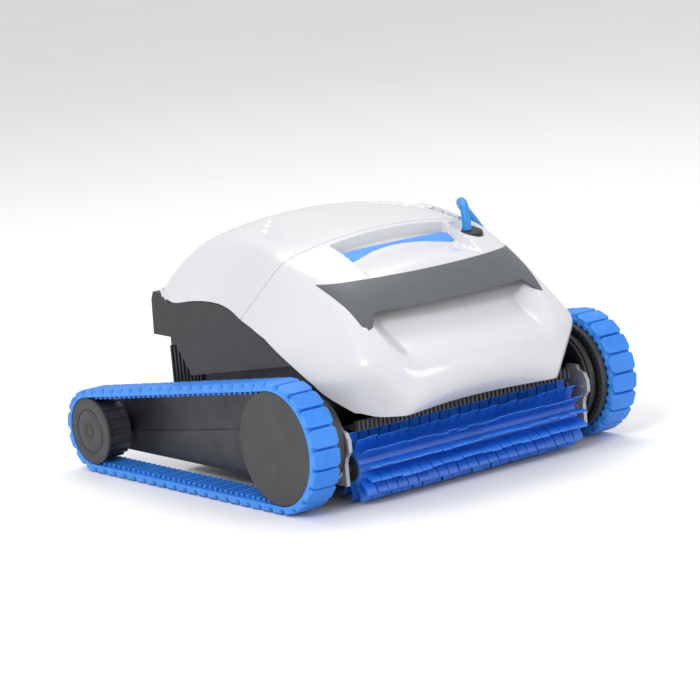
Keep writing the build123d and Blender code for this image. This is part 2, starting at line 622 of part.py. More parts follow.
def make_lid(shell):
    """Hinged rear half of the shell with gill slots and hinge knuckles."""
    zone = drawn_prism(lid_zone(SEAM / 2), COVER_HALF + 20)
    lid = (shell & zone) - notch_block(SEAM / 2)
    for side in (-1, 1):
        for gill in range(4):
            spot = place(side * (92 - 13 * gill), 128 + 13 * gill, 240)
            slot = Box(4.0, 42.0, 60.0)
            lid -= Pos(spot.X, spot.Y, spot.Z) * Rot(0, 0, side * (18 - 3 * gill)) * slot
    lid -= hinge_pocket(0)
    for knuckle in knuckles(-KNUCKLE_HALF, KNUCKLE_HALF, 1):
        lid += knuckle
    return lid.solids().sort_by(SortBy.VOLUME)[-1]


def grommet_place():
    spot = place(*GROMMET)
    return Pos(spot.X, spot.Y, spot.Z) * Rot(GROMMET_TILT, 0, 0)


def band_prism():
    """Front outline of the handle band carried along Y through the front face."""
    outline = [(-115.5, 200), (115.5, 200), (106, 160), (88, 174), (-88, 174), (-106, 160)]
    points = [place(x, 0, z) for x, z in outline]
    face = make_face(Polyline(*[(p.X, FRONT_Y - 100, p.Z) for p in points], close=True))
    return extrude(face, 130, dir=(0, 1, 0))


def flap_place():
    spot = place(0, 46.0, 214.0)
    return Pos(0, spot.Y, spot.Z) * Rot(FLAP_SLOPE, 0, 0)


def scoop_rod(radius, half):
    spot = place(0, -40, 158)
    return rod_x(radius, -half, half, spot.Y, spot.Z)


def make_front_cover(shell, outer, skin):
    """Fixed front half of the shell: band recess, finger scoop, grommet seat and flap seat."""
    front = [(y - SEAM / 2, z + SEAM / 2) for y, z in [SEAM_ROOF, SEAM_TOP] + COVER_EDGE]
    zone = drawn_prism(front + [(-50, 80), (-120, 80), (-120, 300)], COVER_HALF + 20)
    side = [(0, 300), (0, 170), (103, 166.5), (141, 176), (200, 176.5), (200, 300)]
    cover = (shell & zone) + (shell & notch_block(-SEAM / 2) & drawn_prism(side, COVER_HALF + 20))
    cover = cover - scoop_rod(SCOOP_R, SCOOP_HALF)
    pan = scoop_rod(SCOOP_R + WALL, SCOOP_HALF + WALL) - scoop_rod(SCOOP_R, SCOOP_HALF)
    cover += pan & outer
    cover -= skin & band_prism()
    seat = grommet_place() * Pos(0, 0, -4) * Cylinder(GROMMET_R + 3.0, 12.0)
    cover -= grommet_place() * Pos(0, 0, 10) * Cylinder(GROMMET_R + 3.0, 40.0)
    cover += seat - grommet_place() * Cylinder(GROMMET_R, 20.0, align=(Align.CENTER, Align.CENTER, Align.MIN))
    flap_x = FLAP_HALF + 2.5
    deck = flap_place() * Pos(0, 0, -11.5) * Box(2 * flap_x, FLAP_LONG + 10, WALL)
    cover -= flap_place() * Pos(0, 0, 5.0) * Box(2 * flap_x, FLAP_LONG + 5, 30.0)
    cover += deck & outer & zone
    for x in (-31, 31):
        for ear in (-6.5, 6.5):
            lug = Pos(x + ear, 0, 0) * flap_pivot_local() * (Rot(0, 90, 0) * Cylinder(3.2, 3.0))
            foot = Pos(x + ear, 0, 0) * flap_pivot_local() * Pos(0, 0, -2.6) * Box(3.0, 6.4, 5.2)
            cover += flap_place() * (lug + foot)
    cover -= flap_pin_rod(FLAP_PIN_R)
    return cover.solids().sort_by(SortBy.VOLUME)[-1]


FLAP_PIN_R = 1.5
FLAP_DROP = 5.2              # pivot below the middle of the flap's plate


def flap_pivot_local():
    """The latch flap's pivot, in the flap's own tilted place."""
    return Pos(0, -FLAP_LONG / 2 + 3.5, -FLAP_DROP)


def flap_pin_rod(radius):
    bar = Rot(0, 90, 0) * Cylinder(radius, 82.0)
    return flap_place() * flap_pivot_local() * bar


def make_flap():
    """Blue latch lever: a plate with two hinge knuckles under its front edge."""
    flap = Box(2 * FLAP_HALF, FLAP_LONG, FLAP_THICK)
    flap = fillet(flap.edges().filter_by(Axis.Z), 2.5)
    for x in (-31, 31):
        knuckle = Pos(x, 0, 0) * flap_pivot_local() * (Rot(0, 90, 0) * Cylinder(3.0, 8.0))
        web = Pos(x, 0, 0) * flap_pivot_local() * Pos(0, 0, FLAP_DROP / 2) * Box(8.0, 4.0, FLAP_DROP)
        flap += knuckle + web
    flap -= flap_pivot_local() * (Rot(0, 90, 0) * Cylinder(FLAP_PIN_R + FIT_CLEAR, 90.0))
    return flap_place() * flap


def make_flap_spring():
    """Torsion spring round the flap's pin, as a sleeve of its coil."""
    coil = Pos(12, 0, 0) * Rot(0, 90, 0) * (Cylinder(2.6, 12.0) - Cylinder(FLAP_PIN_R, 13.0))
    return flap_place() * flap_pivot_local() * coil


SKIRT_OUTLINE = [(19, 131), (30, 139), (55, 153), (103, 165), (141, 174.5), (174, 175), (239, 169)]
SKIRT_OUTLINE += [(258, 177), (272, 177), (275, 155), (262, 137), (228, 137), (185, 105)]
SKIRT_PLANES = [((139.0, 174.0, 176.0), (1.0, 0.038, 0.2535)), ((152.0, 103.0, 166.0), (1.0, 0.0409, 0.1304))]


def skirt_body(inset):
    face = side_face([(p.Y, p.Z) for p in (place(0, y, z) for y, z in SKIRT_OUTLINE)])
    if inset:
        face = offset(face, -inset, kind=Kind.INTERSECTION).faces()[0]
    half = COVER_HALF + 20
    body = extrude(face, half, dir=(1, 0, 0)) + extrude(face, half, dir=(-1, 0, 0))
    for point, normal in SKIRT_PLANES:
        body = cut_by(body, point, normal, inset)
    corner = place(146, 275, 0)
    for side in (-1, 1):
        way = Vector(side, 0.75, 0).normalized()
        spot = Vector(side * corner.X, corner.Y - 14, 0)
        body = split(body, bisect_by=Plane(origin=spot - way * inset, z_dir=way), keep=Keep.BOTTOM)
    return body


def make_skirt():
    """Dark collar round the tub under the lid: a hollow channel with the rear hinge knuckles."""
    skirt = skirt_body(0) - skirt_body(WALL)
    skirt -= block(-TUB_HALF, TUB_HALF, TUB_FRONT, TUB_REAR, 0, ROOF_HEIGHT)
    skirt -= block(-TUB_HALF - 4, TUB_HALF + 4, TUB_FRONT, TUB_REAR + 4, 0, TUB_TOP - 23)
    skirt -= hinge_pocket(0)
    pivot = hinge_point()
    for side in (-1, 1):
        shelf = block(side * HINGE_X - 26, side * HINGE_X + 26, pivot.Y - 17, pivot.Y - 3,
                      pivot.Z - 9.5, pivot.Z - 6.5)
        skirt += shelf
    for knuckle in knuckles(KNUCKLE_HALF + 0.5, KNUCKLE_HALF + 10, -1):
        skirt += knuckle
    return skirt.solids().sort_by(SortBy.VOLUME)[-1]


def make_hinge_pins():
    pivot = hinge_point()
    pins = [rod_x(HINGE_PIN_R, side * HINGE_X - KNUCKLE_HALF - 10, side * HINGE_X + KNUCKLE_HALF + 10,
                  pivot.Y, pivot.Z) for side in (-1, 1)]
    return pins[0] + pins[1]


# ---------------------------------------------------------------- motor unit
UNIT_HALF = TUB_HALF - 30.0
UNIT_FRONT = TUB_FRONT + WALL + 2.0
UNIT_REAR = UNIT_FRONT + 62.0
UNIT_FLOOR = TUB_FLOOR + WALL + 3.0
UNIT_TOP = 124.0 * SZ
MOTOR_R = 17.0
PUMP_Y = (UNIT_FRONT + UNIT_REAR) / 2
PUMP_SHAFT_R = 3.0


def make_unit_housing():
    """Sealed box that holds motors and electronics."""
    box = block(-UNIT_HALF, UNIT_HALF, UNIT_FRONT, UNIT_REAR, UNIT_FLOOR, UNIT_TOP)
    box = fillet(box.edges().filter_by(Axis.Z), 6.0)
    box -= block(-UNIT_HALF + WALL, UNIT_HALF - WALL, UNIT_FRONT + WALL, UNIT_REAR - WALL,
                 UNIT_FLOOR + WALL, UNIT_TOP + 1)
    box -= both_sides(rod_x(SHAFT_HOLE, UNIT_HALF - WALL - 1, UNIT_HALF + 1, DRIVE_Y, DRIVE_Z))
    for x in (-1, 1):
        box += block(x * 60 - 6, x * 60 + 6, UNIT_FRONT + 8, UNIT_REAR - 8, TUB_FLOOR + WALL, UNIT_FLOOR)
    return box


SEAL_THICK = 1.5


def make_unit_seal():
    ring = block(-UNIT_HALF, UNIT_HALF, UNIT_FRONT, UNIT_REAR, UNIT_TOP, UNIT_TOP + SEAL_THICK)
    inside = block(-UNIT_HALF + WALL, UNIT_HALF - WALL, UNIT_FRONT + WALL, UNIT_REAR - WALL, 0, ROOF_HEIGHT)
    return ring - inside


def make_unit_cover():
    low = UNIT_TOP + SEAL_THICK
    cover = block(-UNIT_HALF, UNIT_HALF, UNIT_FRONT, UNIT_REAR, low, low + WALL)
    cover += rod_z(10.0, 0, PUMP_Y, low, low + WALL + 5.0)
    return cover - rod_z(PUMP_SHAFT_R + 0.5, 0, PUMP_Y, low - 1, low + 20)


def make_drive_motor():
    """Right-hand gear motor, lying along X, on two saddles."""
    inner, outer = 14.0, UNIT_HALF - WALL - 4.0
    motor = rod_x(MOTOR_R, inner, outer, DRIVE_Y, DRIVE_Z)
    saddle = block(inner + 8, inner + 16, DRIVE_Y - 10, DRIVE_Y + 10, UNIT_FLOOR + WALL, DRIVE_Z)
    saddle += block(outer - 16, outer - 8, DRIVE_Y - 10, DRIVE_Y + 10, UNIT_FLOOR + WALL, DRIVE_Z)
    motor += saddle
    return motor - rod_x(SHAFT_R + FIT_CLEAR, outer - 20, outer + 1, DRIVE_Y, DRIVE_Z)


def make_drive_pinion():
    """Right-hand pinion and its shaft, one steel and plastic piece."""
    shaft = rod_x(SHAFT_R, UNIT_HALF - WALL - 20.0, GEAR_IN + PINION_WIDTH, DRIVE_Y, DRIVE_Z)
    return shaft + make_pinion(DRIVE_Y, DRIVE_Z, 0.0, GEAR_IN, GEAR_IN + PINION_WIDTH, 0)


def make_pump_motor():
    motor = rod_z(11.0, 0, PUMP_Y, UNIT_FLOOR + WALL, UNIT_TOP - 8)
    return motor - rod_z(PUMP_SHAFT_R + FIT_CLEAR, 0, PUMP_Y, UNIT_TOP - 40, UNIT_TOP)


def make_circuit_board():
    board = block(-UNIT_HALF + WALL + 4, UNIT_HALF - WALL - 4, UNIT_FRONT + WALL, UNIT_FRONT + WALL + 2,
                  DRIVE_Z + MOTOR_R + 4, UNIT_TOP - 4)
    for x in (-50, -20, 15, 45):
        board += block(x, x + 12, UNIT_FRONT + WALL + 1, UNIT_FRONT + WALL + 7, UNIT_TOP - 30, UNIT_TOP - 18)
    return board


DUCT_R = 33.0
DUCT_LOW = UNIT_TOP + SEAL_THICK + WALL
DUCT_TOP = DUCT_LOW + 34.0


def make_impeller():
    """Pump rotor: hub, shaft and five blades, turning about a vertical shaft."""
    base = DUCT_LOW + 9.0
    rotor = rod_z(9.0, 0, PUMP_Y, base, base + 16)
    for blade in range(5):
        vane = Pos(0, (DUCT_R - 3.0 + 7) / 2, 0) * Rot(0, 32, 0) * Box(2.0, DUCT_R - 3.0 - 7, 13.0)
        rotor += Pos(0, PUMP_Y, base + 8) * Rot(0, 0, 72 * blade) * vane
    rotor &= rod_z(DUCT_R - 3.0, 0, PUMP_Y, base, base + 16)
    return rotor + rod_z(PUMP_SHAFT_R, 0, PUMP_Y, UNIT_TOP - 38, base + 1)


def make_duct():
    """Round throat over the impeller, on four feet, with a guard cross on top."""
    duct = rod_z(DUCT_R, 0, PUMP_Y, DUCT_LOW + 8, DUCT_TOP)
    duct -= rod_z(DUCT_R - 2.0, 0, PUMP_Y, DUCT_LOW, DUCT_TOP + 1)
    for foot in range(4):
        leg = Pos(DUCT_R - 1.5, 0, DUCT_LOW + 5) * Box(3.0, 10.0, 10.0)
        duct += Pos(0, PUMP_Y, 0) * Rot(0, 0, 45 + 90 * foot) * leg
    for bar in range(3):
        cross = Pos(0, 0, DUCT_TOP - 1) * Box(2 * DUCT_R - 1, 2.0, 2.0)
        duct += Pos(0, PUMP_Y, 0) * Rot(0, 0, 60 * bar) * cross
    return duct & rod_z(DUCT_R, 0, PUMP_Y, DUCT_LOW, DUCT_TOP)


# ---------------------------------------------------------------- filter basket
BASKET_HALF = TUB_HALF - WALL - 4.0
BASKET_FRONT = UNIT_REAR + 5.0
BASKET_REAR = TUB_REAR - WALL - 4.0
BASKET_FLOOR = TUB_FLOOR + WALL + 3.0
BASKET_TOP = TUB_TOP - 2.0
POST = 6.0
MESH_THICK = 1.5


# The basket's front right corner is cut back, clear of the fixed cover and the cable.
CORNER_X = NOTCH_X - 5.0
CORNER_Y = FRONT_Y + NOTCH_Y * SY + 3.5


def basket_walls(inset, z0, z1):
    walls = block(-BASKET_HALF + inset, BASKET_HALF - inset, BASKET_FRONT + inset, BASKET_REAR - inset, z0, z1)
    return walls - block(CORNER_X - inset, BASKET_HALF + 1, BASKET_FRONT - 1, CORNER_Y + inset, z0 - 1, z1 + 1)


WINDOW_EDGE = 12.0           # frame left at each end of a basket window
WINDOW_LOW = BASKET_FLOOR + 14
WINDOW_HIGH = BASKET_TOP - 10


def basket_windows(near, far):
    """Blocks through the four windows: from near outside to far inside the wall's outer face."""
    left, right = -BASKET_HALF + WINDOW_EDGE, BASKET_HALF - WINDOW_EDGE
    rear = BASKET_REAR - WINDOW_EDGE
    return [
        block(left, CORNER_X - WINDOW_EDGE, BASKET_FRONT + near, BASKET_FRONT + far, WINDOW_LOW, WINDOW_HIGH),
        block(left, right, BASKET_REAR - far, BASKET_REAR - near, WINDOW_LOW, WINDOW_HIGH),
        block(-BASKET_HALF + near, -BASKET_HALF + far, BASKET_FRONT + WINDOW_EDGE, rear, WINDOW_LOW, WINDOW_HIGH),
        block(BASKET_HALF - far, BASKET_HALF - near, CORNER_Y + WINDOW_EDGE, rear, WINDOW_LOW, WINDOW_HIGH),
    ]


def make_basket_frame():
    """Pan with inlets, four corner posts and a top rim."""
    frame = basket_walls(0, BASKET_FLOOR, BASKET_TOP) - basket_walls(POST, BASKET_FLOOR + WALL, BASKET_TOP + 1)
    for window in basket_windows(-1, POST + 1):
        frame -= window
    frame -= inlet_cut(-3.0, BASKET_FLOOR - 1, BASKET_FLOOR + WALL + 1)
    for side in (-1, 1):
        x0 = side * (INLET_X0 + INLET_X1) / 2
        width = (INLET_X1 - INLET_X0) / 2 + 6
        for ear in (-1, 1):
            lug = block(x0 + ear * width - 2, x0 + ear * width + 2, INLET_Y0 - 8, INLET_Y0 - 1,
                        BASKET_FLOOR + WALL - 1, BASKET_FLOOR + WALL + 7)
            frame += lug
    return frame - inlet_flap_pins(0)


def inlet_flap_axis():
    return INLET_Y0 - 4.5, BASKET_FLOOR + WALL + 3.5


def inlet_flap_pins(grow):
    y, z = inlet_flap_axis()
    half = (INLET_X1 - INLET_X0) / 2 + 8
    middle = (INLET_X0 + INLET_X1) / 2
    return both_sides(rod_x(1.5 + grow, middle - half, middle + half, y, z))


def make_inlet_flap():
    """Right-hand flap valve over an inlet, hinged along its front edge."""
    y, z = inlet_flap_axis()
    middle = (INLET_X0 + INLET_X1) / 2
    half = (INLET_X1 - INLET_X0) / 2 + 3
    floor = BASKET_FLOOR + WALL
    flap = block(middle - half, middle + half, y + 1, INLET_Y1 + 2, floor + 0.4, floor + 2.4)
    flap += rod_x(2.9, middle - half, middle + half, y, z)
    return flap - rod_x(1.5 + FIT_CLEAR, middle - half - 1, middle + half + 1, y, z)


def make_basket_mesh():
    """Fine mesh panels in the four windows."""
    panels = basket_windows((POST - MESH_THICK) / 2, (POST + MESH_THICK) / 2)
    return Compound(children=[p.solids()[0] for p in panels])


def make_basket_handle():
    """Fixed arch across the basket's rim."""
    y = (BASKET_FRONT + BASKET_REAR) / 2
    arch = block(-70, 70, y - 6, y + 6, BASKET_TOP - 4, BASKET_TOP + 22)
    arch -= block(-62, 62, y - 7, y + 7, BASKET_TOP - 5, BASKET_TOP + 14)
    bar = block(-BASKET_HALF + POST, -62, y - 6, y + 6, BASKET_TOP - 4, BASKET_TOP)
    return arch + both_sides(bar)


# ---------------------------------------------------------------- cable
GROMMET_HIGH = 3.5
CORD_R = CORD_DIAMETER / 2


def make_grommet():
    """Rubber disc round the cable, pressed into its seat."""
    disc = Cylinder(GROMMET_R - 0.1, GROMMET_HIGH, align=(Align.CENTER, Align.CENTER, Align.MIN))
    disc = chamfer(disc.edges().filter_by(GeomType.CIRCLE).sort_by(Axis.Z)[-1], 1.0)
    return grommet_place() * disc


EXIT = (GROMMET[0] * SX, FRONT_Y + GROMMET[1] * SY, GROMMET[2] * SZ + GROMMET_HIGH)
COIL_TURN_R = 80.0           # middle of the coil's turns
COIL_LAYERS = 5
COIL_X, COIL_Y = 215.0, 334.0
COIL_HALF = COIL_LAYERS * CORD_R
CORD_ROUTE = [
    EXIT,
    (EXIT[0], EXIT[1], EXIT[2] + 27.0),
    (112.0, -53.0, 239.0),
    (146.0, -40.0, 207.0),
    (179.0, -33.0, 163.0),
    (207.0, -24.0, 118.0),
    (220.0, -8.0, 66.0),
    (226.0, 20.0, 20.0),
    (229.0, 66.0, CORD_R),
    (232.0, 122.0, CORD_R),
    (252.0, 176.0, CORD_R),
    (284.0, 222.0, CORD_R),
    (307.0, 270.0, CORD_R),
    (COIL_X + COIL_TURN_R + COIL_HALF - CORD_R, COIL_Y, CORD_R),
]
COIL_TOP_Z = 2 * COIL_HALF - CORD_R
TAIL_ROUTE = [
    (COIL_X - 85.0, COIL_Y + 49.0, COIL_TOP_Z),
    (COIL_X - 103.0, COIL_Y + 18.0, COIL_TOP_Z - 2.5),
    (COIL_X - 117.0, COIL_Y - 12.0, 24.0),
    (COIL_X - 123.0, COIL_Y - 42.0, 14.5),
    (COIL_X - 125.0, COIL_Y - 78.0, 14.0),
]


def corner_radii(route):
    """Each corner's arc, as large as its two runs allow."""
    radii = []
    for before, corner, after in zip(route, route[1:], route[2:]):
        first = Vector(*corner) - Vector(*before)
        second = Vector(*after) - Vector(*corner)
        half_turn = radians(first.get_angle(second)) / 2
        radii.append(0.45 * min(first.length, second.length) / tan(half_turn))
    return radii


def cord_tube(route):
    radii = corner_radii(route)
    path = FilletPolyline(*[Vector(*p) for p in route], radius=radii)
    heading = Vector(*route[1]) - Vector(*route[0])
    section = Plane(origin=Vector(*route[0]), z_dir=heading) * Circle(CORD_R)
    tube = sweep(section, path=path)
    expected = pi * CORD_R ** 2 * path.length
    print("cord radii", [round(r) for r in radii], "length", round(path.length), "volume / expected",
          round(tube.volume / expected, 4))
    return tube


def make_coil():
    """Closed ring with the coil's outer shape, lying on the floor."""
    ring = rod_z(COIL_TURN_R + COIL_HALF, COIL_X, COIL_Y, 0, 2 * COIL_HALF)
    ring -= rod_z(COIL_TURN_R - COIL_HALF, COIL_X, COIL_Y, -1, 2 * COIL_HALF + 1)
    return fillet(ring.edges().filter_by(GeomType.CIRCLE), CORD_R)


PLUG_R = 13.0
PLUG_LONG = 46.0
PLUG_GRIP = 18.0             # tapered part where the cable enters


def plug_place():
    """Frame at the end of the cable's tail, pointing along it."""
    last, before = Vector(*TAIL_ROUTE[-1]), Vector(*TAIL_ROUTE[-2])
    return Plane(origin=last, z_dir=last - before)


def make_plug():
    """Moulded connector with a tapered grip, a body and three contact pins."""
    upright = (Align.CENTER, Align.CENTER, Align.MIN)
    plug = Cone(CORD_R + 1.5, PLUG_R - 3, PLUG_GRIP, align=upright)
    plug += Pos(0, 0, PLUG_GRIP) * Cylinder(PLUG_R - 3, PLUG_LONG - PLUG_GRIP, align=upright)
    for pin in range(3):
        stud = Pos(4.5 * cos(2 * pi * pin / 3), 4.5 * sin(2 * pi * pin / 3), PLUG_LONG - 1)
        plug += stud * Cylinder(1.2, 9.0, align=upright)
    return plug_place() * plug


def make_plug_ring():
    """Threaded locking ring round the plug's body."""
    upright = (Align.CENTER, Align.CENTER, Align.MIN)
    ring = Cylinder(PLUG_R, 20.0, align=upright) - Pos(0, 0, -1) * Cylinder(PLUG_R - 2.8, 30.0, align=upright)
    for groove in range(20):
        turn = 2 * pi * groove / 20
        spot = Pos((PLUG_R + 0.3) * cos(turn), (PLUG_R + 0.3) * sin(turn), -1)
        ring -= spot * Cylinder(0.9, 30.0, align=upright)
    return plug_place() * Pos(0, 0, PLUG_LONG - 14) * ring


# ---------------------------------------------------------------- make and save every node
outer = cover_body(0)
shell = outer - cover_body(WALL)
skin = outer - cover_body(BAND_DEPTH)

save("front_cover", make_front_cover(shell, outer, skin))
save("handle_band", skin & band_prism())
save("lid", make_lid(shell))
save("rear_body", make_skirt())
save("lid_hinge_pins", make_hinge_pins())
save("latch_flap", make_flap())
save("latch_pin", flap_pin_rod(FLAP_PIN_R))
save("latch_spring", make_flap_spring())
save("tub", make_tub())
save("inlet_plate", make_inlet_plate())
save("inlet_plate_screws", make_plate_screws())
save("brush_guard", make_front_grill())
save("brush_core", make_brush_core())
save("brush_combs", make_brush_combs())
save("brush_gear", make_brush_gear())
save("motor_housing", make_unit_housing())
save("motor_housing_seal", make_unit_seal())
save("motor_housing_cover", make_unit_cover())
save("pump_motor", make_pump_motor())
save("circuit_board", make_circuit_board())
save("impeller", make_impeller())
save("impeller_duct", make_duct())
save("basket_frame", make_basket_frame())
save("basket_mesh", make_basket_mesh())
save("basket_handle", make_basket_handle())
save("inlet_flap_pins", inlet_flap_pins(0))
save("cable_grommet", make_grommet())
save("cable", cord_tube(CORD_ROUTE) + cord_tube(TAIL_ROUTE))
save("cable_coil", make_coil())
save("cable_plug", make_plug())
save("plug_ring", make_plug_ring())

PAIRS = {
    "track": make_track,
    "front_wheel": make_front_wheel,
    "wheel_disc": make_wheel_disc,
    "front_axle": make_axle,
    "rear_idler": make_idler,
    "idler_cap": make_idler_cap,
    "idler_axle": make_idler_axle,
    "side_plate": make_side_plate,
    "brush_bush": make_brush_bush,
    "brush_bracket": make_brush_bracket,
    "drive_motor": make_drive_motor,
    "drive_pinion": make_drive_pinion,
    "inlet_flap": make_inlet_flap,
}
for name, make in PAIRS.items():
    piece = make()
    save(name + "_right", piece)
    save(name + "_left", mirrored(piece))
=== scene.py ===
import json
import math

import bmesh
import bpy
import numpy as np
from mathutils import Matrix, Vector

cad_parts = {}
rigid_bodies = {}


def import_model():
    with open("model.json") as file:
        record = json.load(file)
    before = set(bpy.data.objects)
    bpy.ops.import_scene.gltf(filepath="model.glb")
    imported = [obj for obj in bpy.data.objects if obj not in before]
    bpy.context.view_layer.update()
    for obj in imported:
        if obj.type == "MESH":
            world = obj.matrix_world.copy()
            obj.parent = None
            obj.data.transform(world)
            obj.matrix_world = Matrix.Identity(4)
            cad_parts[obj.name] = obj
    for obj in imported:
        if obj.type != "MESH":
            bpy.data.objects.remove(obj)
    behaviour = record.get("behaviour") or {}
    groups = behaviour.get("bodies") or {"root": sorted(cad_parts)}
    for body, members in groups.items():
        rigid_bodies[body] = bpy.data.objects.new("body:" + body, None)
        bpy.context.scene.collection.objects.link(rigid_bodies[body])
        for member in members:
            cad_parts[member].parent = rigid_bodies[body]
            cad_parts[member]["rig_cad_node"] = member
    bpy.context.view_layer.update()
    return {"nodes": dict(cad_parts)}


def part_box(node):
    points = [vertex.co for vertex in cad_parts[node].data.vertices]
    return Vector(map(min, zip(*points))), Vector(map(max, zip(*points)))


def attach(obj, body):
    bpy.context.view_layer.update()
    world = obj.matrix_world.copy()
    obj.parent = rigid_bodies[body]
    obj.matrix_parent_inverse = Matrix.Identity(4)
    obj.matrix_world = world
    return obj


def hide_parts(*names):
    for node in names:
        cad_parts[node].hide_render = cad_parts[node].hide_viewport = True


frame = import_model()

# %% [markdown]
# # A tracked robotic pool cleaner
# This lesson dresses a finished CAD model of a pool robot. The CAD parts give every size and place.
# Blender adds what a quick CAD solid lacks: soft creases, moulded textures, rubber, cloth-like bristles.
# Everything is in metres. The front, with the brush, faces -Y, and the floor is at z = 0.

MM = 0.001


def middle(node):
    """The middle of a CAD node's box, in millimetres."""
    low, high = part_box(node)
    return (np.array(low) + np.array(high)) / 2 / MM


FRONT_AXLE = middle("front_axle_left")
REAR_AXLE = middle("rear_idler_left")
print("front axle", FRONT_AXLE.round(1), "rear axle", REAR_AXLE.round(1))

# %% [markdown]
# ## Camera
# A long lens far away keeps the robot's proportions calm, as a shop's product view does.
# The camera stands left of the front, a little above, and is rolled by a few degrees.

# %% Camera
AZIMUTH, ELEVATION, ROLL = math.radians(-36.42), math.radians(10.78), math.radians(-5.32)


def aim_camera():
    """A camera turned by azimuth, elevation and roll: its three axes are the columns of its matrix."""
    back = np.array([math.sin(AZIMUTH) * math.cos(ELEVATION), -math.cos(AZIMUTH) * math.cos(ELEVATION),
                     math.sin(ELEVATION)])
    right = np.cross(-back, [0, 0, 1])
    right /= np.linalg.norm(right)
    up = np.cross(right, -back)
    across = right * math.cos(ROLL) + up * math.sin(ROLL)
    upward = -right * math.sin(ROLL) + up * math.cos(ROLL)
    matrix = np.eye(4)
    matrix[:3, 0], matrix[:3, 1], matrix[:3, 2] = across, upward, back
    matrix[:3, 3] = (-1.8403, -2.49745, 0.6954)
    camera = bpy.data.objects.new("camera", bpy.data.cameras.new("camera"))
    bpy.context.scene.collection.objects.link(camera)
    camera.matrix_world = Matrix(matrix.tolist())
    camera.data.sensor_width = 36.0
    camera.data.lens = 36.0 * 3200.0 / 700.0
    camera.data.clip_end = 100.0
    bpy.context.scene.camera = camera
    return camera


print("camera lens", round(aim_camera().data.lens, 1), "mm")

# %% [markdown]
# ## Helpers for computed meshes
# Each new piece is a grid of points, computed as one array. Rows and columns become quads.

# %% Grid to mesh
def grid_quads(rows, columns, start=0, close_rows=False, close_columns=False):
    """Quads of a grid of rows by columns points, numbered row after row, closed round where asked."""
    row = np.arange(rows if close_rows else rows - 1)[:, None]
    column = np.arange(columns if close_columns else columns - 1)[None, :]
    next_row, next_column = (row + 1) % rows, (column + 1) % columns
    corners = [row * columns + column, row * columns + next_column,
               next_row * columns + next_column, next_row * columns + column]
    return np.stack([np.broadcast_to(c, (row.size, column.size)) for c in corners], -1).reshape(-1, 4) + start


def mesh_piece(name, points, faces, body, nodes=(), smooth=True, outward=True):
    """A mesh object from points in millimetres and faces, riding on a CAD body."""
    mesh = bpy.data.meshes.new(name)
    mesh.from_pydata((np.asarray(points, float).reshape(-1, 3) * MM).tolist(), [], faces)
    mesh.validate()
    piece = bpy.data.objects.new(name, mesh)
    bpy.context.scene.collection.objects.link(piece)
    form = bmesh.new()
    form.from_mesh(mesh)
    bmesh.ops.remove_doubles(form, verts=form.verts, dist=1e-6)
    bmesh.ops.dissolve_degenerate(form, dist=1e-7, edges=form.edges)
    if outward:
        bmesh.ops.recalc_face_normals(form, faces=form.faces)
    form.to_mesh(mesh)
    form.free()
    mesh.polygons.foreach_set("use_smooth", [smooth] * len(mesh.polygons))
    if smooth:
        mesh.set_sharp_from_angle(angle=math.radians(38))
    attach(piece, body)
    if nodes:
        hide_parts(*nodes)
    print(name, len(mesh.polygons), "faces")
    return piece


def step(value, low, high):
    """Smooth step: 0 below low, 1 above high, and an S-curve between."""
    share = np.clip((value - low) / (high - low), 0, 1)
    return share * share * (3 - 2 * share)


def cubic(points, count):
    """Natural cubic spline through points: second derivatives solve a tridiagonal system, chord lengths
    as parameter."""
    points = np.asarray(points, float)
    knots = np.r_[0, np.cumsum(np.linalg.norm(np.diff(points, axis=0), axis=1))]
    gaps = np.diff(knots)
    system = np.eye(len(knots))
    right = np.zeros_like(points)
    inner = np.arange(1, len(knots) - 1)
    system[inner, inner - 1], system[inner, inner] = gaps[:-1], 2 * (gaps[:-1] + gaps[1:])
    system[inner, inner + 1] = gaps[1:]
    slopes = np.diff(points, axis=0) / gaps[:, None]
    right[1:-1] = 6 * np.diff(slopes, axis=0)
    bends = np.linalg.solve(system, right)
    at = np.linspace(0, knots[-1], count)
    piece = np.clip(np.searchsorted(knots, at, side="right") - 1, 0, len(gaps) - 1)
    gap, left, past = gaps[piece][:, None], (at - knots[piece])[:, None], (knots[piece + 1] - at)[:, None]
    line = ((points[piece] / gap - bends[piece] * gap / 6) * past
            + (points[piece + 1] / gap - bends[piece + 1] * gap / 6) * left)
    return line + (bends[piece] * past ** 3 + bends[piece + 1] * left ** 3) / 6 / gap


def spaced(curve, count, share=None):
    """The same curve with count points at equal arc length, or at the given shares of it."""
    length = np.r_[0, np.cumsum(np.linalg.norm(np.diff(curve, axis=0), axis=1))]
    at = (np.linspace(0, 1, count) if share is None else np.asarray(share)) * length[-1]
    return np.stack([np.interp(at, length, curve[:, axis]) for axis in range(curve.shape[1])], -1)


# %% [markdown]
# ## Finishes
# Moulded plastic is never one flat colour: the mould leaves a fine grain, the pigment clouds a little, and dust
# and handling change the gloss. Each finish here is a small node tree: clouds for colour, clouds for roughness,
# a fine bump and, for some finishes, a broad one. All of them read Object coordinates, so nothing slides when the robot
# moves.

# %% Finish
def ramp_between(tree, source, low, high, low_at, high_at):
    """A Map Range node: the source's span from low_at to high_at becomes low to high."""
    node = tree.nodes.new("ShaderNodeMapRange")
    for socket, value in zip(node.inputs[1:5], (low_at, high_at, low, high)):
        socket.default_value = value
    tree.links.new(source, node.inputs[0])
    return node.outputs[0]


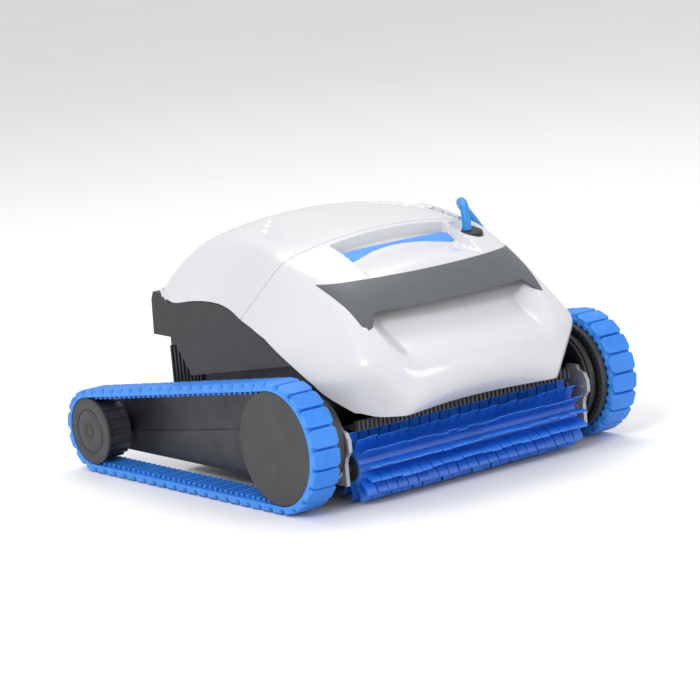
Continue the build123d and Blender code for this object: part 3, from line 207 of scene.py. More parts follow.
def noise(tree, place, scale, detail=4.0, stretch=(1, 1, 1)):
    """Clouds of that many cells to the metre, stretched by a Mapping node where the finish has a grain direction."""
    mapping = tree.nodes.new("ShaderNodeMapping")
    mapping.inputs["Scale"].default_value = stretch
    clouds = tree.nodes.new("ShaderNodeTexNoise")
    clouds.inputs["Scale"].default_value = scale
    clouds.inputs["Detail"].default_value = detail
    tree.links.new(place, mapping.inputs["Vector"])
    tree.links.new(mapping.outputs[0], clouds.inputs["Vector"])
    return clouds.outputs["Fac"]


def finish(name, colour, deep, rough=(0.35, 0.45), cloud=9.0, grain=900.0, grain_depth=0.02, wave=60.0,
           wave_depth=0.0, coat=0.0, coat_rough=0.1, metallic=0.0, specular=0.5, sheen=0.0, stretch=(1, 1, 1),
           worn=None, subsurface=0.0):
    """A moulded or metal finish: colour drifts to deep in soft clouds, roughness drifts too, and fine
    grain lies over it."""
    material = bpy.data.materials.new(name)
    material.use_nodes = True
    tree = material.node_tree
    shader = tree.nodes["Principled BSDF"]
    place = tree.nodes.new("ShaderNodeTexCoord").outputs["Object"]
    clouds = noise(tree, place, cloud, 6.0, stretch)
    mix = tree.nodes.new("ShaderNodeMix")
    mix.data_type = "RGBA"
    mix.inputs["A"].default_value = (*colour, 1)
    mix.inputs["B"].default_value = (*deep, 1)
    tree.links.new(ramp_between(tree, clouds, 0, 1, 0.35, 0.7), mix.inputs["Factor"])
    shade = mix.outputs["Result"]
    if worn is not None:
        edge = tree.nodes.new("ShaderNodeNewGeometry").outputs["Pointiness"]
        rub = tree.nodes.new("ShaderNodeMix")
        rub.data_type = "RGBA"
        rub.inputs["B"].default_value = (*worn, 1)
        tree.links.new(ramp_between(tree, edge, 0, 0.8, 0.52, 0.62), rub.inputs["Factor"])
        tree.links.new(shade, rub.inputs["A"])
        shade = rub.outputs["Result"]
    tree.links.new(shade, shader.inputs["Base Color"])
    drift = noise(tree, place, cloud * 5, 5.0, stretch)
    tree.links.new(ramp_between(tree, drift, *rough, 0.3, 0.7), shader.inputs["Roughness"])
    fine = tree.nodes.new("ShaderNodeBump")
    fine.inputs["Distance"].default_value = 0.0004
    fine.inputs["Strength"].default_value = grain_depth
    tree.links.new(noise(tree, place, grain, 3.0, stretch), fine.inputs["Height"])
    normal = fine.outputs[0]
    if wave_depth:
        broad = tree.nodes.new("ShaderNodeBump")
        broad.inputs["Distance"].default_value = 0.002
        broad.inputs["Strength"].default_value = wave_depth
        tree.links.new(noise(tree, place, wave, 2.0, stretch), broad.inputs["Height"])
        tree.links.new(normal, broad.inputs["Normal"])
        normal = broad.outputs[0]
    tree.links.new(normal, shader.inputs["Normal"])
    shader.inputs["Metallic"].default_value = metallic
    shader.inputs["Specular IOR Level"].default_value = specular
    shader.inputs["Coat Weight"].default_value = coat
    shader.inputs["Coat Roughness"].default_value = coat_rough
    shader.inputs["Sheen Weight"].default_value = sheen
    shader.inputs["Subsurface Weight"].default_value = subsurface
    shader.inputs["Subsurface Scale"].default_value = 0.002
    return material


FINISHES = {
    "shell_white": finish("pearl_white_shell", (0.61, 0.61, 0.63), (0.56, 0.56, 0.585), (0.26, 0.36), 7, 1500, 0.06,
                          coat=0.55, coat_rough=0.07),
    "band_grey": finish("dark_grey_satin", (0.085, 0.092, 0.105), (0.07, 0.077, 0.09), (0.34, 0.46), 14, 1400, 0.10,
                        coat=0.15, coat_rough=0.3),
    "body_black": finish("blue_black_body", (0.024, 0.025, 0.029), (0.016, 0.017, 0.02), (0.36, 0.52), 10, 1100, 0.14,
                         coat=0.1, coat_rough=0.35),
    "dark_satin": finish("charcoal_satin", (0.040, 0.040, 0.042), (0.030, 0.030, 0.032), (0.42, 0.56), 12, 1600, 0.12),
    "latch_blue": finish("latch_blue", (0.060, 0.270, 0.740), (0.050, 0.230, 0.680), (0.32, 0.44), 20, 1300, 0.10,
                         coat=0.2),
    "track_blue": finish("track_rubber_blue", (0.022, 0.215, 0.720), (0.014, 0.165, 0.610), (0.42, 0.58), 26, 1500,
                         0.22, wave=120, wave_depth=0.05, worn=(0.08, 0.33, 0.82), subsurface=0.05),
    "brush_blue": finish("brush_polymer_blue", (0.012, 0.135, 0.640), (0.008, 0.105, 0.540), (0.30, 0.44), 34, 1200,
                         0.12, wave=180, wave_depth=0.08, worn=(0.06, 0.25, 0.78), subsurface=0.08),
    "cable_blue": finish("cable_skin_blue", (0.012, 0.240, 0.660), (0.010, 0.205, 0.590), (0.34, 0.46), 22, 1400, 0.12),
    "seal_black": finish("seal_rubber", (0.014, 0.014, 0.016), (0.009, 0.009, 0.010), (0.50, 0.65), 22, 1500, 0.2),
    "bracket_metal": finish("bracket_grey", (0.42, 0.42, 0.44), (0.34, 0.34, 0.36), (0.34, 0.50), 30, 900, 0.2,
                            wave=140, wave_depth=0.1, metallic=0.35),
    "steel": finish("brushed_steel", (0.62, 0.62, 0.64), (0.5, 0.5, 0.52), (0.25, 0.4), 30, 1800, 0.1, metallic=1.0,
                    stretch=(1, 12, 12)),
    "motor_metal": finish("motor_can", (0.45, 0.46, 0.47), (0.36, 0.37, 0.38), (0.3, 0.45), 24, 1800, 0.1, metallic=0.9,
                          stretch=(8, 1, 1)),
    "board_green": finish("circuit_green", (0.02, 0.16, 0.07), (0.015, 0.11, 0.05), (0.3, 0.45), 60, 600, 0.2),
    "basket_grey": finish("basket_grey", (0.20, 0.21, 0.23), (0.16, 0.17, 0.19), (0.4, 0.52), 16, 1300, 0.12),
    "gear_white": finish("gear_polymer", (0.66, 0.65, 0.61), (0.58, 0.57, 0.53), (0.34, 0.46), 26, 1300, 0.1),
}


def woven_mesh(name, thread, hole):
    """A fine filter cloth: two sets of rounded threads, from sine waves along the wall and along its height."""
    material = finish(name, thread, hole, (0.5, 0.6), 40, 1500, 0.1)
    tree = material.node_tree
    shader = tree.nodes["Principled BSDF"]
    place = tree.nodes.new("ShaderNodeTexCoord").outputs["Object"]
    checks = []
    for direction in ("X", "Y", "Z"):
        wave = tree.nodes.new("ShaderNodeTexWave")
        wave.bands_direction = direction
        wave.inputs["Scale"].default_value = 180
        tree.links.new(place, wave.inputs["Vector"])
        checks.append(wave.outputs["Fac"])
    low = tree.nodes.new("ShaderNodeMath")
    low.operation = "MAXIMUM"
    tree.links.new(checks[0], low.inputs[0])
    tree.links.new(checks[1], low.inputs[1])
    both = tree.nodes.new("ShaderNodeMath")
    both.operation = "MULTIPLY"
    tree.links.new(low.outputs[0], both.inputs[0])
    tree.links.new(checks[2], both.inputs[1])
    mix = tree.nodes.new("ShaderNodeMix")
    mix.data_type = "RGBA"
    mix.inputs["A"].default_value = (*hole, 1)
    mix.inputs["B"].default_value = (*thread, 1)
    tree.links.new(both.outputs[0], mix.inputs["Factor"])
    tree.links.new(mix.outputs["Result"], shader.inputs["Base Color"])
    return material


FINISHES["mesh_white"] = woven_mesh("filter_cloth", (0.72, 0.73, 0.74), (0.22, 0.23, 0.24))
print(len(FINISHES), "finishes")


def dress(piece, slot):
    """Give a piece one finish, in its first material slot."""
    piece.data.materials.clear()
    piece.data.materials.append(FINISHES[slot])


# %% [markdown]
# ## Finishing the CAD pieces
# Every piece of the CAD model keeps its own mesh and gets the finish of its record slot. Pieces that are rebuilt
# further down hide their CAD original, so here the inner parts, the tub and the side plates get their final look.

# %% CAD nodes get their finish
for node, part in frame["nodes"].items():
    named = [m.name for m in part.data.materials if m]
    chosen = next((slot for slot in FINISHES if any(n.startswith(slot) for n in named)), None)
    print(node, named, chosen)
    dress(part, chosen or "body_black")


# %% [markdown]
# ## The floating cable
# A pool robot hangs on a floating cable: thick, soft-skinned and bright blue. It comes up out of a rubber
# grommet, bends over, runs down beside the right track and lies in a coil behind the robot.
# A NURBS curve with a round bevel is the simplest true cable: one centreline, one thickness.

# %% Cable
CABLE_THICK = 9.0
CABLE_ROUTE = [(86, -95.9, 217.5), (86, -95.9, 244.5), (112, -53, 239), (146, -40, 207), (179, -33, 163),
               (207, -24, 118), (220, -8, 66), (226, 20, 20), (229, 66, 4.5), (232, 122, 4.5), (252, 176, 4.5),
               (284, 222, 4.5), (307, 270, 4.5)]
CABLE_TAIL = [(112, 352, 38), (98, 322, 24), (92, 292, 14.5), (90, 256, 14)]
COIL_MIDDLE = middle("cable_coil")
POINTS_PER_TURN = 16
STEP_TURN = 127.5


def coil_legs():
    """The winding as legs of (degrees, radius at the end, height at the end): a flat layer, then five columns."""
    legs = []
    for radius in (98, 89, 80, 71):
        legs += [(300, radius, 4.5), (60, radius - 9, 4.5)]
    legs += [(1440, 62, 40.5)]
    height = 40.5
    for radius in (71, 80, 89, 98):
        legs.append((STEP_TURN, radius, height))
        height = 13.5 if height == 40.5 else 40.5
        legs.append((1080, radius, height))
    return np.array(legs, float)


def coil_points():
    """Round turns about the coil's middle: angle, radius and height run from leg to leg, all on straight shares."""
    legs = coil_legs()
    angles = np.r_[0, np.cumsum(legs[:, 0])]
    radii, heights = np.r_[98, legs[:, 1]], np.r_[4.5, legs[:, 2]]
    count = int(round(angles[-1] / 360 * POINTS_PER_TURN))
    at = np.linspace(0, angles[-1], count + 1)
    reach = np.interp(at, angles, radii) / (0.75 + 0.25 * math.cos(2 * math.pi / POINTS_PER_TURN))
    turn = np.radians(at)
    return np.stack([COIL_MIDDLE[0] + reach * np.cos(turn), COIL_MIDDLE[1] + reach * np.sin(turn),
                     np.interp(at, angles, heights)], -1)


def make_cable():
    """One open NURBS spline through the route, the coil's turns and the tail."""
    curve = bpy.data.curves.new("floating_cable", "CURVE")
    curve.dimensions = "3D"
    route = np.r_[CABLE_ROUTE, coil_points(), CABLE_TAIL] * MM
    spline = curve.splines.new("NURBS")
    spline.points.add(len(route) - 1)
    spline.points.foreach_set("co", np.c_[route, np.ones(len(route))].ravel())
    spline.order_u = 3
    spline.use_endpoint_u = True
    spline.resolution_u = 6
    curve.bevel_depth = CABLE_THICK / 2 * MM
    curve.bevel_resolution = 5
    curve.use_fill_caps = True
    piece = bpy.data.objects.new("floating_cable", curve)
    bpy.context.scene.collection.objects.link(piece)
    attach(piece, "chassis")
    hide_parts("cable", "cable_coil")
    dress(piece, "cable_blue")
    return piece, route


cable, cable_line = make_cable()


# %% [markdown]
# ## The body's outer form
# The two white covers, the handle band and the hinged lid are cut from one imagined body, so that their surfaces
# run on from each other. The body is a field: a number that is below zero inside and above it outside.
# Five simple fields, the crowned roof, two side planes, the chin and the plan outline, are blended with a soft
# maximum, and that is what rounds the creases.

# %% Body field
ROOF = [(-52, 80), (-70, 95), (-79.5, 114), (-74, 136), (-50, 164), (-25, 187), (10, 211.5), (50, 229.5), (90, 239.5),
        (130, 244.5), (160, 246), (195, 243.5), (225, 234), (248, 218), (264, 198), (273, 178)]
PLAN = [(0, -84), (60, -81), (112, -70.5), (138, -51), (153, -25), (161, 8), (163, 100), (161, 210), (152, 244),
        (134, 266.5), (60, 274), (0, 275.5)]
PLANES = [((119.5, 67, 221), (1, -0.4167, 0.6916)), ((119.5, 67, 221), (1, 0.0687, 0.5995)),
          ((155, -18, 110), (0.674, -0.640, -0.370))]
CROWN_DROP = 250.0
SOFT = 3.2
roof_line = cubic(ROOF, 500)
plan_line = cubic(PLAN, 500)
ROOF_TURN = np.arctan2(roof_line[:, 0] - 100, roof_line[:, 1] - 60)
ROOF_REACH = np.hypot(roof_line[:, 0] - 100, roof_line[:, 1] - 60)
PLAN_TURN = np.arctan2(plan_line[:, 0], plan_line[:, 1] - 100)[::-1]
PLAN_REACH = np.hypot(plan_line[:, 0], plan_line[:, 1] - 100)[::-1]


def body_field(points):
    """Soft maximum, k log sum exp(f / k), of the roof, plan and plane fields. y is measured from the front axle."""
    x, y, z = np.abs(points[..., 0]), points[..., 1], points[..., 2]
    crown = np.hypot(x, z + CROWN_DROP) - CROWN_DROP
    fields = [np.hypot(y - 100, crown - 60) - np.interp(np.arctan2(y - 100, crown - 60), ROOF_TURN, ROOF_REACH),
              np.hypot(x, y - 100) - np.interp(np.arctan2(x, y - 100), PLAN_TURN, PLAN_REACH)]
    for spot, way in PLANES:
        way = np.array(way) / np.linalg.norm(way)
        fields.append((x - spot[0]) * way[0] + (y - spot[1]) * way[1] + (z - spot[2]) * way[2])
    fields = np.stack(fields)
    top = fields.max(0)
    return top + SOFT * np.log(np.exp((fields - top) / SOFT).sum(0))


def land(start, way, far=420.0, near=0.0):
    """Where rays from start along way meet the body: 40 halvings between near and far, for all rays at once."""
    start, way = np.broadcast_arrays(np.asarray(start, float), np.asarray(way, float))
    low, high = np.full(way.shape[:-1], near), np.full(way.shape[:-1], far)
    for _ in range(40):
        half = (low + high) / 2
        inside = body_field(start + half[..., None] * way) < 0
        low, high = np.where(inside, half, low), np.where(inside, high, half)
    return start + low[..., None] * way


def outward(points, reach=0.5):
    """Unit normals of the body field: its differences along x, y and z."""
    slope = np.stack([body_field(points + reach * axis) - body_field(points - reach * axis) for axis in np.eye(3)], -1)
    return slope / np.linalg.norm(slope, axis=-1, keepdims=True)


def coons(front, back, left, right):
    """A patch from its four edges: the two ruled surfaces added, less the flat one through the corners."""
    s = np.linspace(0, 1, len(front))[None, :, None]
    t = np.linspace(0, 1, len(left))[:, None, None]
    ruled = (1 - t) * front[None] + t * back[None] + (1 - s) * left[:, None] + s * right[:, None]
    flat = (1 - t) * ((1 - s) * front[0] + s * front[-1]) + t * ((1 - s) * back[0] + s * back[-1])
    return ruled - flat


def patch(edges, centre):
    """A lattice on the body between four edge curves: a Coons patch of directions from the centre, landed
    on the body."""
    ways = [edge - centre for edge in edges]
    ways = [way / np.linalg.norm(way, axis=1, keepdims=True) for way in ways]
    lattice = coons(*ways)
    return land(np.array(centre, float), lattice / np.linalg.norm(lattice, axis=-1, keepdims=True))


def shifted(points):
    """From the drawing's y, measured from the front axle, to the robot's own frame."""
    return points + np.array([0, FRONT_AXLE[1], 0])


# %% [markdown]
# ## Where the covers part
# The fine seam runs over the roof and down each side. On the right it steps back round the cable, so that the lid
# can open past it. Each edge curve is a row of points landed on the body.

# %% Seam and edges
SEAM_HALF = 0.45
SEAM_SIDE = np.array([(103, 166), (67, 221), (60, 300)], float)
LID_EDGE = cubic([(103, 166), (122, 171.5), (141, 175), (174, 176), (210, 172.5), (239, 170.5), (258, 178)], 200)
COVER_EDGE = np.array([(103, 166), (80, 161), (55, 153.5), (30, 140), (8, 128), (-12, 116),
                       (-25, 99), (-34, 86)], float)
NOTCH_X, NOTCH_Y = 97.0, 107.0


def seam_y(z):
    """Y of the seam on the side, at height z."""
    return np.interp(z, SEAM_SIDE[:, 1], SEAM_SIDE[:, 0])


def over_roof(shift, turn_from, turn_to, y_of=seam_y, count=400):
    """Across the roof in the seam's curtain: rays fan out about (x 0, z 120), each held at the seam's own y."""
    turn = np.radians(np.linspace(turn_from, turn_to, count))
    low, high = np.zeros(count), np.full(count, 400.0)

    def at(reach):
        z = 120 + reach * np.cos(turn)
        return np.stack([reach * np.sin(turn), y_of(z) + shift, z], -1)
    for _ in range(40):
        half = (low + high) / 2
        inside = body_field(at(half)) < 0
        low, high = np.where(inside, half, low), np.where(inside, high, half)
    return at(low)


def above(points, height):
    """The points that lie at a height or over it."""
    return points[points[:, 2] >= height]


def side_edge(line, sign, raise_by=0.0):
    """A side-view line carried out to the body's side: rays run along x from the middle plane."""
    start = np.stack([np.zeros(len(line)), line[:, 0], line[:, 1] + raise_by], -1)
    return land(start, np.array([sign, 0.0, 0.0]))


def front_seam(shift):
    """The seam from the left foot over the roof to the right foot."""
    return above(over_roof(shift, -89, 89), 166)


def notched_seam(shift):
    """The seam as the lid has it: over the roof, back along the notch, and down the right side behind it."""
    arch = above(over_roof(shift, -89, 89), 166)
    arch = arch[arch[:, 0] < NOTCH_X - shift]
    along = np.linspace(arch[-1, 1], NOTCH_Y + shift, 60)
    back = land(np.stack([np.full(60, NOTCH_X - shift), along, np.full(60, 120.0)], -1), np.array([0.0, 0.0, 1.0]))
    down = above(over_roof(0, 0, 89, lambda z: np.full_like(z, NOTCH_Y + shift)), 168.5)
    down = down[down[:, 0] > NOTCH_X - shift]
    return np.r_[arch, back, down]


# %% [markdown]
# ## The hinged lid
# The lid is one white moulding, 3 mm thick, hinged at the rear, with curved gills that let the air out.
# It could be carved from a block with booleans, but then the creases would be sharp. Instead its lattice is spread
# between the seam, the side edges and the rear edge, pressed in where the gills are, and given its wall by Solidify.

# %% Lid
def lid_edges():
    """The four edge curves of the lid, in order round it."""
    start = notched_seam(SEAM_HALF)
    left_line = np.r_[[start[0]], side_edge(LID_EDGE[2:], -1)]
    right_line = np.r_[[start[-1]], side_edge(LID_EDGE[LID_EDGE[:, 0] > NOTCH_Y + 3], 1)]
    x = np.linspace(left_line[-1, 0], right_line[-1, 0], 400)
    lift = 8.5 * (1 - step(np.abs(np.abs(x) - 62), 26, 29))
    rear = land(np.stack([x, np.full(400, 150.0), np.full(400, 178.0) + lift], -1), np.array([0.0, 1.0, 0.0]))
    rear[0], rear[-1] = left_line[-1], right_line[-1]
    return [spaced(start, 270), spaced(rear, 270), spaced(left_line, 150), spaced(right_line, 150)]


def gills(points):
    """Depth of the gills: in each, a slope goes down across 9 mm and comes back up in a short lip, and it
    fades at its ends."""
    depth = np.zeros(points.shape[:-1])
    for index in range(4):
        for side in (-1, 1):
            spot = np.array([side * (92 - 13 * index), 128 + 13 * index])
            turn = math.radians(side * (18 - 3 * index))
            dx, dy = points[..., 0] - spot[0], points[..., 1] - spot[1]
            along = -dx * math.sin(turn) + dy * math.cos(turn)
            across = side * (dx * math.cos(turn) + dy * math.sin(turn)) + 0.006 * along ** 2
            slope = np.clip((across + 7.5) / 7.5, 0, 1) * (1 - step(across, 0, 1.8))
            depth += 3.4 * slope * (1 - step(np.abs(along), 12, 22))
    return depth


def wall(piece, thickness=3.0, rim=0.7):
    """Solidify inwards, then a small bevel on the rims so that they catch the light."""
    solid = piece.modifiers.new("wall", "SOLIDIFY")
    solid.thickness, solid.offset, solid.use_even_offset = thickness * MM, -1.0, False
    bevel = piece.modifiers.new("rim", "BEVEL")
    bevel.width, bevel.segments, bevel.limit_method = rim * MM, 2, "ANGLE"
    bevel.angle_limit = math.radians(60)
    return piece


def make_lid():
    """The lid: a lattice with the gills pressed in, given a wall."""
    lattice = patch(lid_edges(), (0.0, 150.0, 125.0))
    lattice = lattice - outward(lattice) * gills(lattice)[..., None]
    piece = mesh_piece("shell_lid", shifted(lattice), grid_quads(*lattice.shape[:2]).tolist(), "lid", ["lid"])
    dress(piece, "shell_white")
    return wall(piece)


make_lid()

# %% [markdown]
# ## The front cover
# The fixed front half carries the latch, the grommet, the handle band and, under the band, a finger scoop that
# fades out downwards. The scoop is the cover's most telling shape, so it is a soft press of the same lattice.

# %% Front cover
def scoop(points):
    """Finger scoop: rises from nothing at z 116 to full depth at z 166 and closes under the band; its
    sides slope in."""
    x, y, z = np.abs(points[..., 0]), points[..., 1], points[..., 2]
    side = 1 - step(x, 74 + 0.12 * (z - 116), 93 + 0.22 * (z - 116))
    return 15.0 * step(z, 114, 168) * (1 - step(z, 183, 196)) * side * (y < 40)


def band_bed(points):
    """The shallow bed that the handle band lies in, a little smaller than the band itself."""
    x, y, z = np.abs(points[..., 0]), points[..., 1], points[..., 2]
    low = 162 + 13 * (1 - step(x, 86, 104))
    return 2.6 * step(z, low + 1, low + 3) * (1 - step(z, 196.5, 198.5)) * (1 - step(x, 107, 111)) * (y < 40)


def latch_pocket(points):
    """The pocket of the latch: a ramp that sinks from the band's top edge to the flap, with upright side
    and rear walls."""
    x, y, z = np.abs(points[..., 0]), points[..., 1], points[..., 2]
    return 11.0 * step(y, -2, 44) ** 0.8 * (1 - step(x, 67.5, 70.0)) * (1 - step(y, 57.5, 59)) * (z > 195)


def grommet_dish(points):
    """The round seat of the cable's grommet."""
    reach = np.hypot(points[..., 0] - 86, points[..., 1] - 43.5)
    return 3.0 * (1 - step(reach, 14.5, 17.5)) * (points[..., 2] > 190)


def cover_edges():
    """The four edge curves of the front cover, without its tongue."""
    start = front_seam(-SEAM_HALF)
    corner = 26.0
    left_line = np.r_[[start[0]], side_edge(COVER_EDGE[1:], -1)]
    right_line = left_line * [-1, 1, 1]
    right_line[0] = start[-1]
    x_end = left_line[-1, 0]
    x = np.linspace(x_end, -x_end, 400)
    z = 80.3 + 5.7 * (1 - step(np.abs(x_end) - np.abs(x), 0, corner)) ** 2
    low = land(np.stack([x, np.full(400, 60.0), z], -1), np.array([0.0, -1.0, 0.0]))
    low[0], low[-1] = left_line[-1], right_line[-1]
    return [spaced(start, 280), spaced(low, 280), spaced(left_line, 150), spaced(right_line, 150)]


def tongue_edges():
    """The strip behind the seam on the right, round the cable: between the seam and the notch's rear edge."""
    start = spaced(front_seam(-SEAM_HALF), 280)
    start = start[start[:, 0] > NOTCH_X + 0.3]
    rear = above(over_roof(0, 0, 89, lambda z: np.full_like(z, NOTCH_Y - SEAM_HALF)), 167)
    rear = spaced(rear[rear[:, 0] > NOTCH_X + 0.3], len(start))
    share = np.linspace(0, 1, 40)[:, None]
    return [start, rear, start[0] * (1 - share) + rear[0] * share, start[-1] * (1 - share) + rear[-1] * share]


def make_front_cover():
    """The front cover and its tongue, with the scoop, beds, pocket and dish pressed in."""
    main = patch(cover_edges(), (0.0, 60.0, 120.0))
    tongue = patch(tongue_edges(), (0.0, 60.0, 120.0))
    points = np.r_[main.reshape(-1, 3), tongue.reshape(-1, 3)]
    depth = np.maximum.reduce([scoop(points), band_bed(points) + 0 * points[:, 0], latch_pocket(points),
                               grommet_dish(points)])
    points = points - outward(points) * depth[:, None]
    faces = np.r_[grid_quads(*main.shape[:2]), grid_quads(*tongue.shape[:2], start=main.shape[0] * main.shape[1])]
    piece = mesh_piece("shell_front_cover", shifted(points), faces.tolist(), "chassis", ["front_cover"])
    dress(piece, "shell_white")
    return wall(piece)


make_front_cover()

# %% [markdown]
# ## The handle band
# The dark grey grip is a thin satin skin laid into the cover. Its lower edge is notched: it drops to a point at each
# end, where the hand's opening stops. Its lattice is a set of upright columns, landed on the same body.

# %% Handle band
def make_band():
    """Columns at x run from the notched lower edge to the straight top edge, and lie 0.3 mm proud of the body."""
    share = np.linspace(-1, 1, 240)
    height = np.linspace(0, 1, 34)[:, None]
    lower = 174.0 - 13.5 * step(np.abs(share) * 107.5, 86.5, 107.5) ** 0.8
    z = lower + (200.0 - lower) * height
    x = share * (106.0 + 9.5 * (z - 160) / 40)
    start = np.stack([x, np.full_like(x, 60.0), z], -1)
    lattice = land(start, np.array([0.0, -1.0, 0.0]), far=200.0)
    lattice = lattice + outward(lattice) * 0.3
    faces = grid_quads(*lattice.shape[:2]).tolist()
    piece = mesh_piece("grip_band", shifted(lattice), faces, "chassis", ["handle_band"])
    dress(piece, "band_grey")
    return wall(piece, 2.6, 0.5)


make_band()

# %% [markdown]
# ## The latch flap
# A blue lever that holds the lid down: a thin plate with rounded corners that bows with the roof, and two feet that
# go down to its pin. Its outline is a superellipse, so the corners are round without any bevel in the plane.

# %% Latch flap
FLAP_SLOPE = math.radians(30)
FLAP_HALF_X, FLAP_HALF_Y, FLAP_BOW = 66.0, 8.5, 0.4
FLAP_POWER = 0.14


def tilted(local):
    """From the flap's own frame to the robot's: turned about X by its slope, and moved to its middle."""
    turn = np.array([[1, 0, 0], [0, math.cos(FLAP_SLOPE), -math.sin(FLAP_SLOPE)],
                     [0, math.sin(FLAP_SLOPE), math.cos(FLAP_SLOPE)]])
    return local @ turn.T + np.array([0, FRONT_AXLE[1] + 46.0, 214.0])


def make_flap():
    """A closed slab: rings of a rounded rectangle, from the middle of the underside over the edge to the
    middle on top."""
    turn = np.linspace(0, 2 * math.pi, 160, endpoint=False)[None, :]
    reach = np.array([0.001, 0.5, 0.9, 0.975, 1.0, 1.0, 0.985, 0.9, 0.5, 0.001])[:, None]
    height = np.array([-1.5, -1.5, -1.5, -1.5, -0.9, 0.7, 1.35, 1.5, 1.7, 1.75])[:, None]
    x = FLAP_HALF_X * np.sign(np.cos(turn)) * np.abs(np.cos(turn)) ** FLAP_POWER
    y = FLAP_HALF_Y * np.sign(np.sin(turn)) * np.abs(np.sin(turn)) ** (FLAP_POWER * 2)
    bow = FLAP_BOW * (x / FLAP_HALF_X) ** 2
    points = np.stack([x * reach ** 0.15, y * reach, height + 0 * x - bow], -1)
    faces = grid_quads(10, 160, close_columns=True).tolist()
    foot_turn = np.linspace(0, 2 * math.pi, 20, endpoint=False)[None, :]
    feet = []
    for middle_x in (-31, 31):
        across = np.array([-4.0, -4.0, -3.4, 3.4, 4.0, 4.0])[:, None]
        size = np.array([0.01, 2.4, 3.0, 3.0, 2.4, 0.01])[:, None]
        y_foot = -5.0 + size * np.cos(foot_turn)
        z_foot = -5.2 + size * np.sin(foot_turn) * np.where(np.sin(foot_turn) > 0, 1.9, 1.0)
        feet.append(np.stack([middle_x + across + 0 * y_foot, y_foot, z_foot], -1).reshape(-1, 3))
        faces += grid_quads(6, 20, start=1600 + 120 * (len(feet) - 1), close_columns=True).tolist()
    piece = mesh_piece("blue_latch_flap", tilted(np.r_[points.reshape(-1, 3), *feet]), faces, "latch", ["latch_flap"])
    dress(piece, "latch_blue")
    return piece


make_flap()

# %% [markdown]
# ## The tracks
# Each track is a moulded rubber belt: flat pads outside, with rounded corners and thin grooves between them, and
# drive teeth inside. Its path is two arcs and two straight runs. Along that path go the stations, and at each
# station a closed section of inner and outer heights. The pads and teeth are just heights that change along the way.

# %% Tracks
FRONT_OUT, REAR_OUT = 62.5, 42.2
TREAD, BELT, TOOTH = 4.0, 4.0, 3.0
FRONT_IN, REAR_IN = FRONT_OUT - TREAD - BELT, REAR_OUT - TREAD - BELT
SPAN_Y, SPAN_Z = REAR_AXLE[1] - FRONT_AXLE[1], REAR_AXLE[2] - FRONT_AXLE[2]
TILT, SPAN = math.atan2(SPAN_Z, SPAN_Y), math.hypot(SPAN_Y, SPAN_Z)
WRAP = math.acos((FRONT_IN - REAR_IN) / SPAN)
RUN = SPAN * math.sin(WRAP)
FRONT_ARC, REAR_ARC = (2 * math.pi - 2 * WRAP) * FRONT_IN, 2 * WRAP * REAR_IN
LOOP = FRONT_ARC + REAR_ARC + 2 * RUN
PADS = 52


def loop_frame(along):
    """Centre, direction and reach of the belt's inner line: on an arc the centre is the axle, on a run it
    slides between them."""
    along = along % LOOP
    marks = [0, FRONT_ARC, FRONT_ARC + RUN, FRONT_ARC + RUN + REAR_ARC, LOOP]
    top, bottom = TILT + WRAP, TILT - WRAP
    full = 2 * math.pi
    turn = np.interp(along, marks, [top, top + FRONT_ARC / FRONT_IN, full + bottom, full + top, full + top])
    share = np.interp(along, marks, [0, 0, 1, 1, 0])
    centre = np.stack([FRONT_AXLE[1] + SPAN_Y * share, FRONT_AXLE[2] + SPAN_Z * share], -1)
    return centre, np.stack([np.cos(turn), np.sin(turn)], -1), FRONT_IN + (REAR_IN - FRONT_IN) * share


def pad_height(share, across):
    """A pad's height over its share of the pitch: a groove at each end, wider towards the pad's corners,
    and a flat facet."""
    pitch = LOOP / PADS
    gap = 0.9 + 2.6 * np.abs(across) ** 9
    near = np.minimum(share, 1 - share) * pitch
    return TREAD * step(near, gap - 0.45, gap + 0.45) - 0.75 * (1 - (2 * share - 1) ** 2)


def make_track(name, side, node):
    """A closed grid: stations along the loop by a section of outer pad heights and inner tooth heights."""
    stops = np.array([0, 0.025, 0.05, 0.075, 0.1, 0.14, 0.19, 0.25, 0.25 + 1e-3, 0.5, 0.5 + 1e-3, 0.75, 0.75 + 1e-3,
                      0.81, 0.86, 0.9, 0.925, 0.95, 0.975])
    along = (np.arange(PADS)[:, None] + stops[None, :]).reshape(-1)
    share = along % 1.0
    centre, way, reach = loop_frame(along * LOOP / PADS)
    tooth = ((share >= 0.25 + 5e-4) & (share < 0.5 + 5e-4)) | (share >= 0.75 + 5e-4)
    across = np.r_[np.linspace(-1, -0.8, 5), np.linspace(-0.7, 0.7, 8), np.linspace(0.8, 1, 5)]
    low_x, high_x = 167.0, 197.5
    x_outer = (low_x + high_x) / 2 + across * (high_x - low_x) / 2
    rim = 0.9 * np.abs(across) ** 24
    outer = BELT + pad_height(share[:, None], across[None, :]) - rim
    x_inner = np.array([high_x, high_x - 4.0, high_x - 4.2, high_x - 12, low_x + 8, low_x + 1.0, low_x])
    teeth = np.array([0, 0, 1, 1, 1, 1, 0.6])[None, :] * np.where(tooth, -TOOTH, 0)[:, None]
    heights = np.c_[outer, teeth]
    x = side * np.r_[x_outer, x_inner][None, :] + 0 * heights
    line = centre[:, None, :] + way[:, None, :] * (reach[:, None] + heights)[..., None]
    points = np.concatenate([x[..., None], line], -1)
    faces = grid_quads(*heights.shape, close_rows=True, close_columns=True).tolist()
    piece = mesh_piece(name, points, faces, "chassis", [node])
    dress(piece, "track_blue")
    return piece


print("track loop", round(LOOP), "mm, pad pitch", round(LOOP / PADS, 2), "mm")
make_track("rubber_track_left", -1, "track_left")
make_track("rubber_track_right", 1, "track_right")

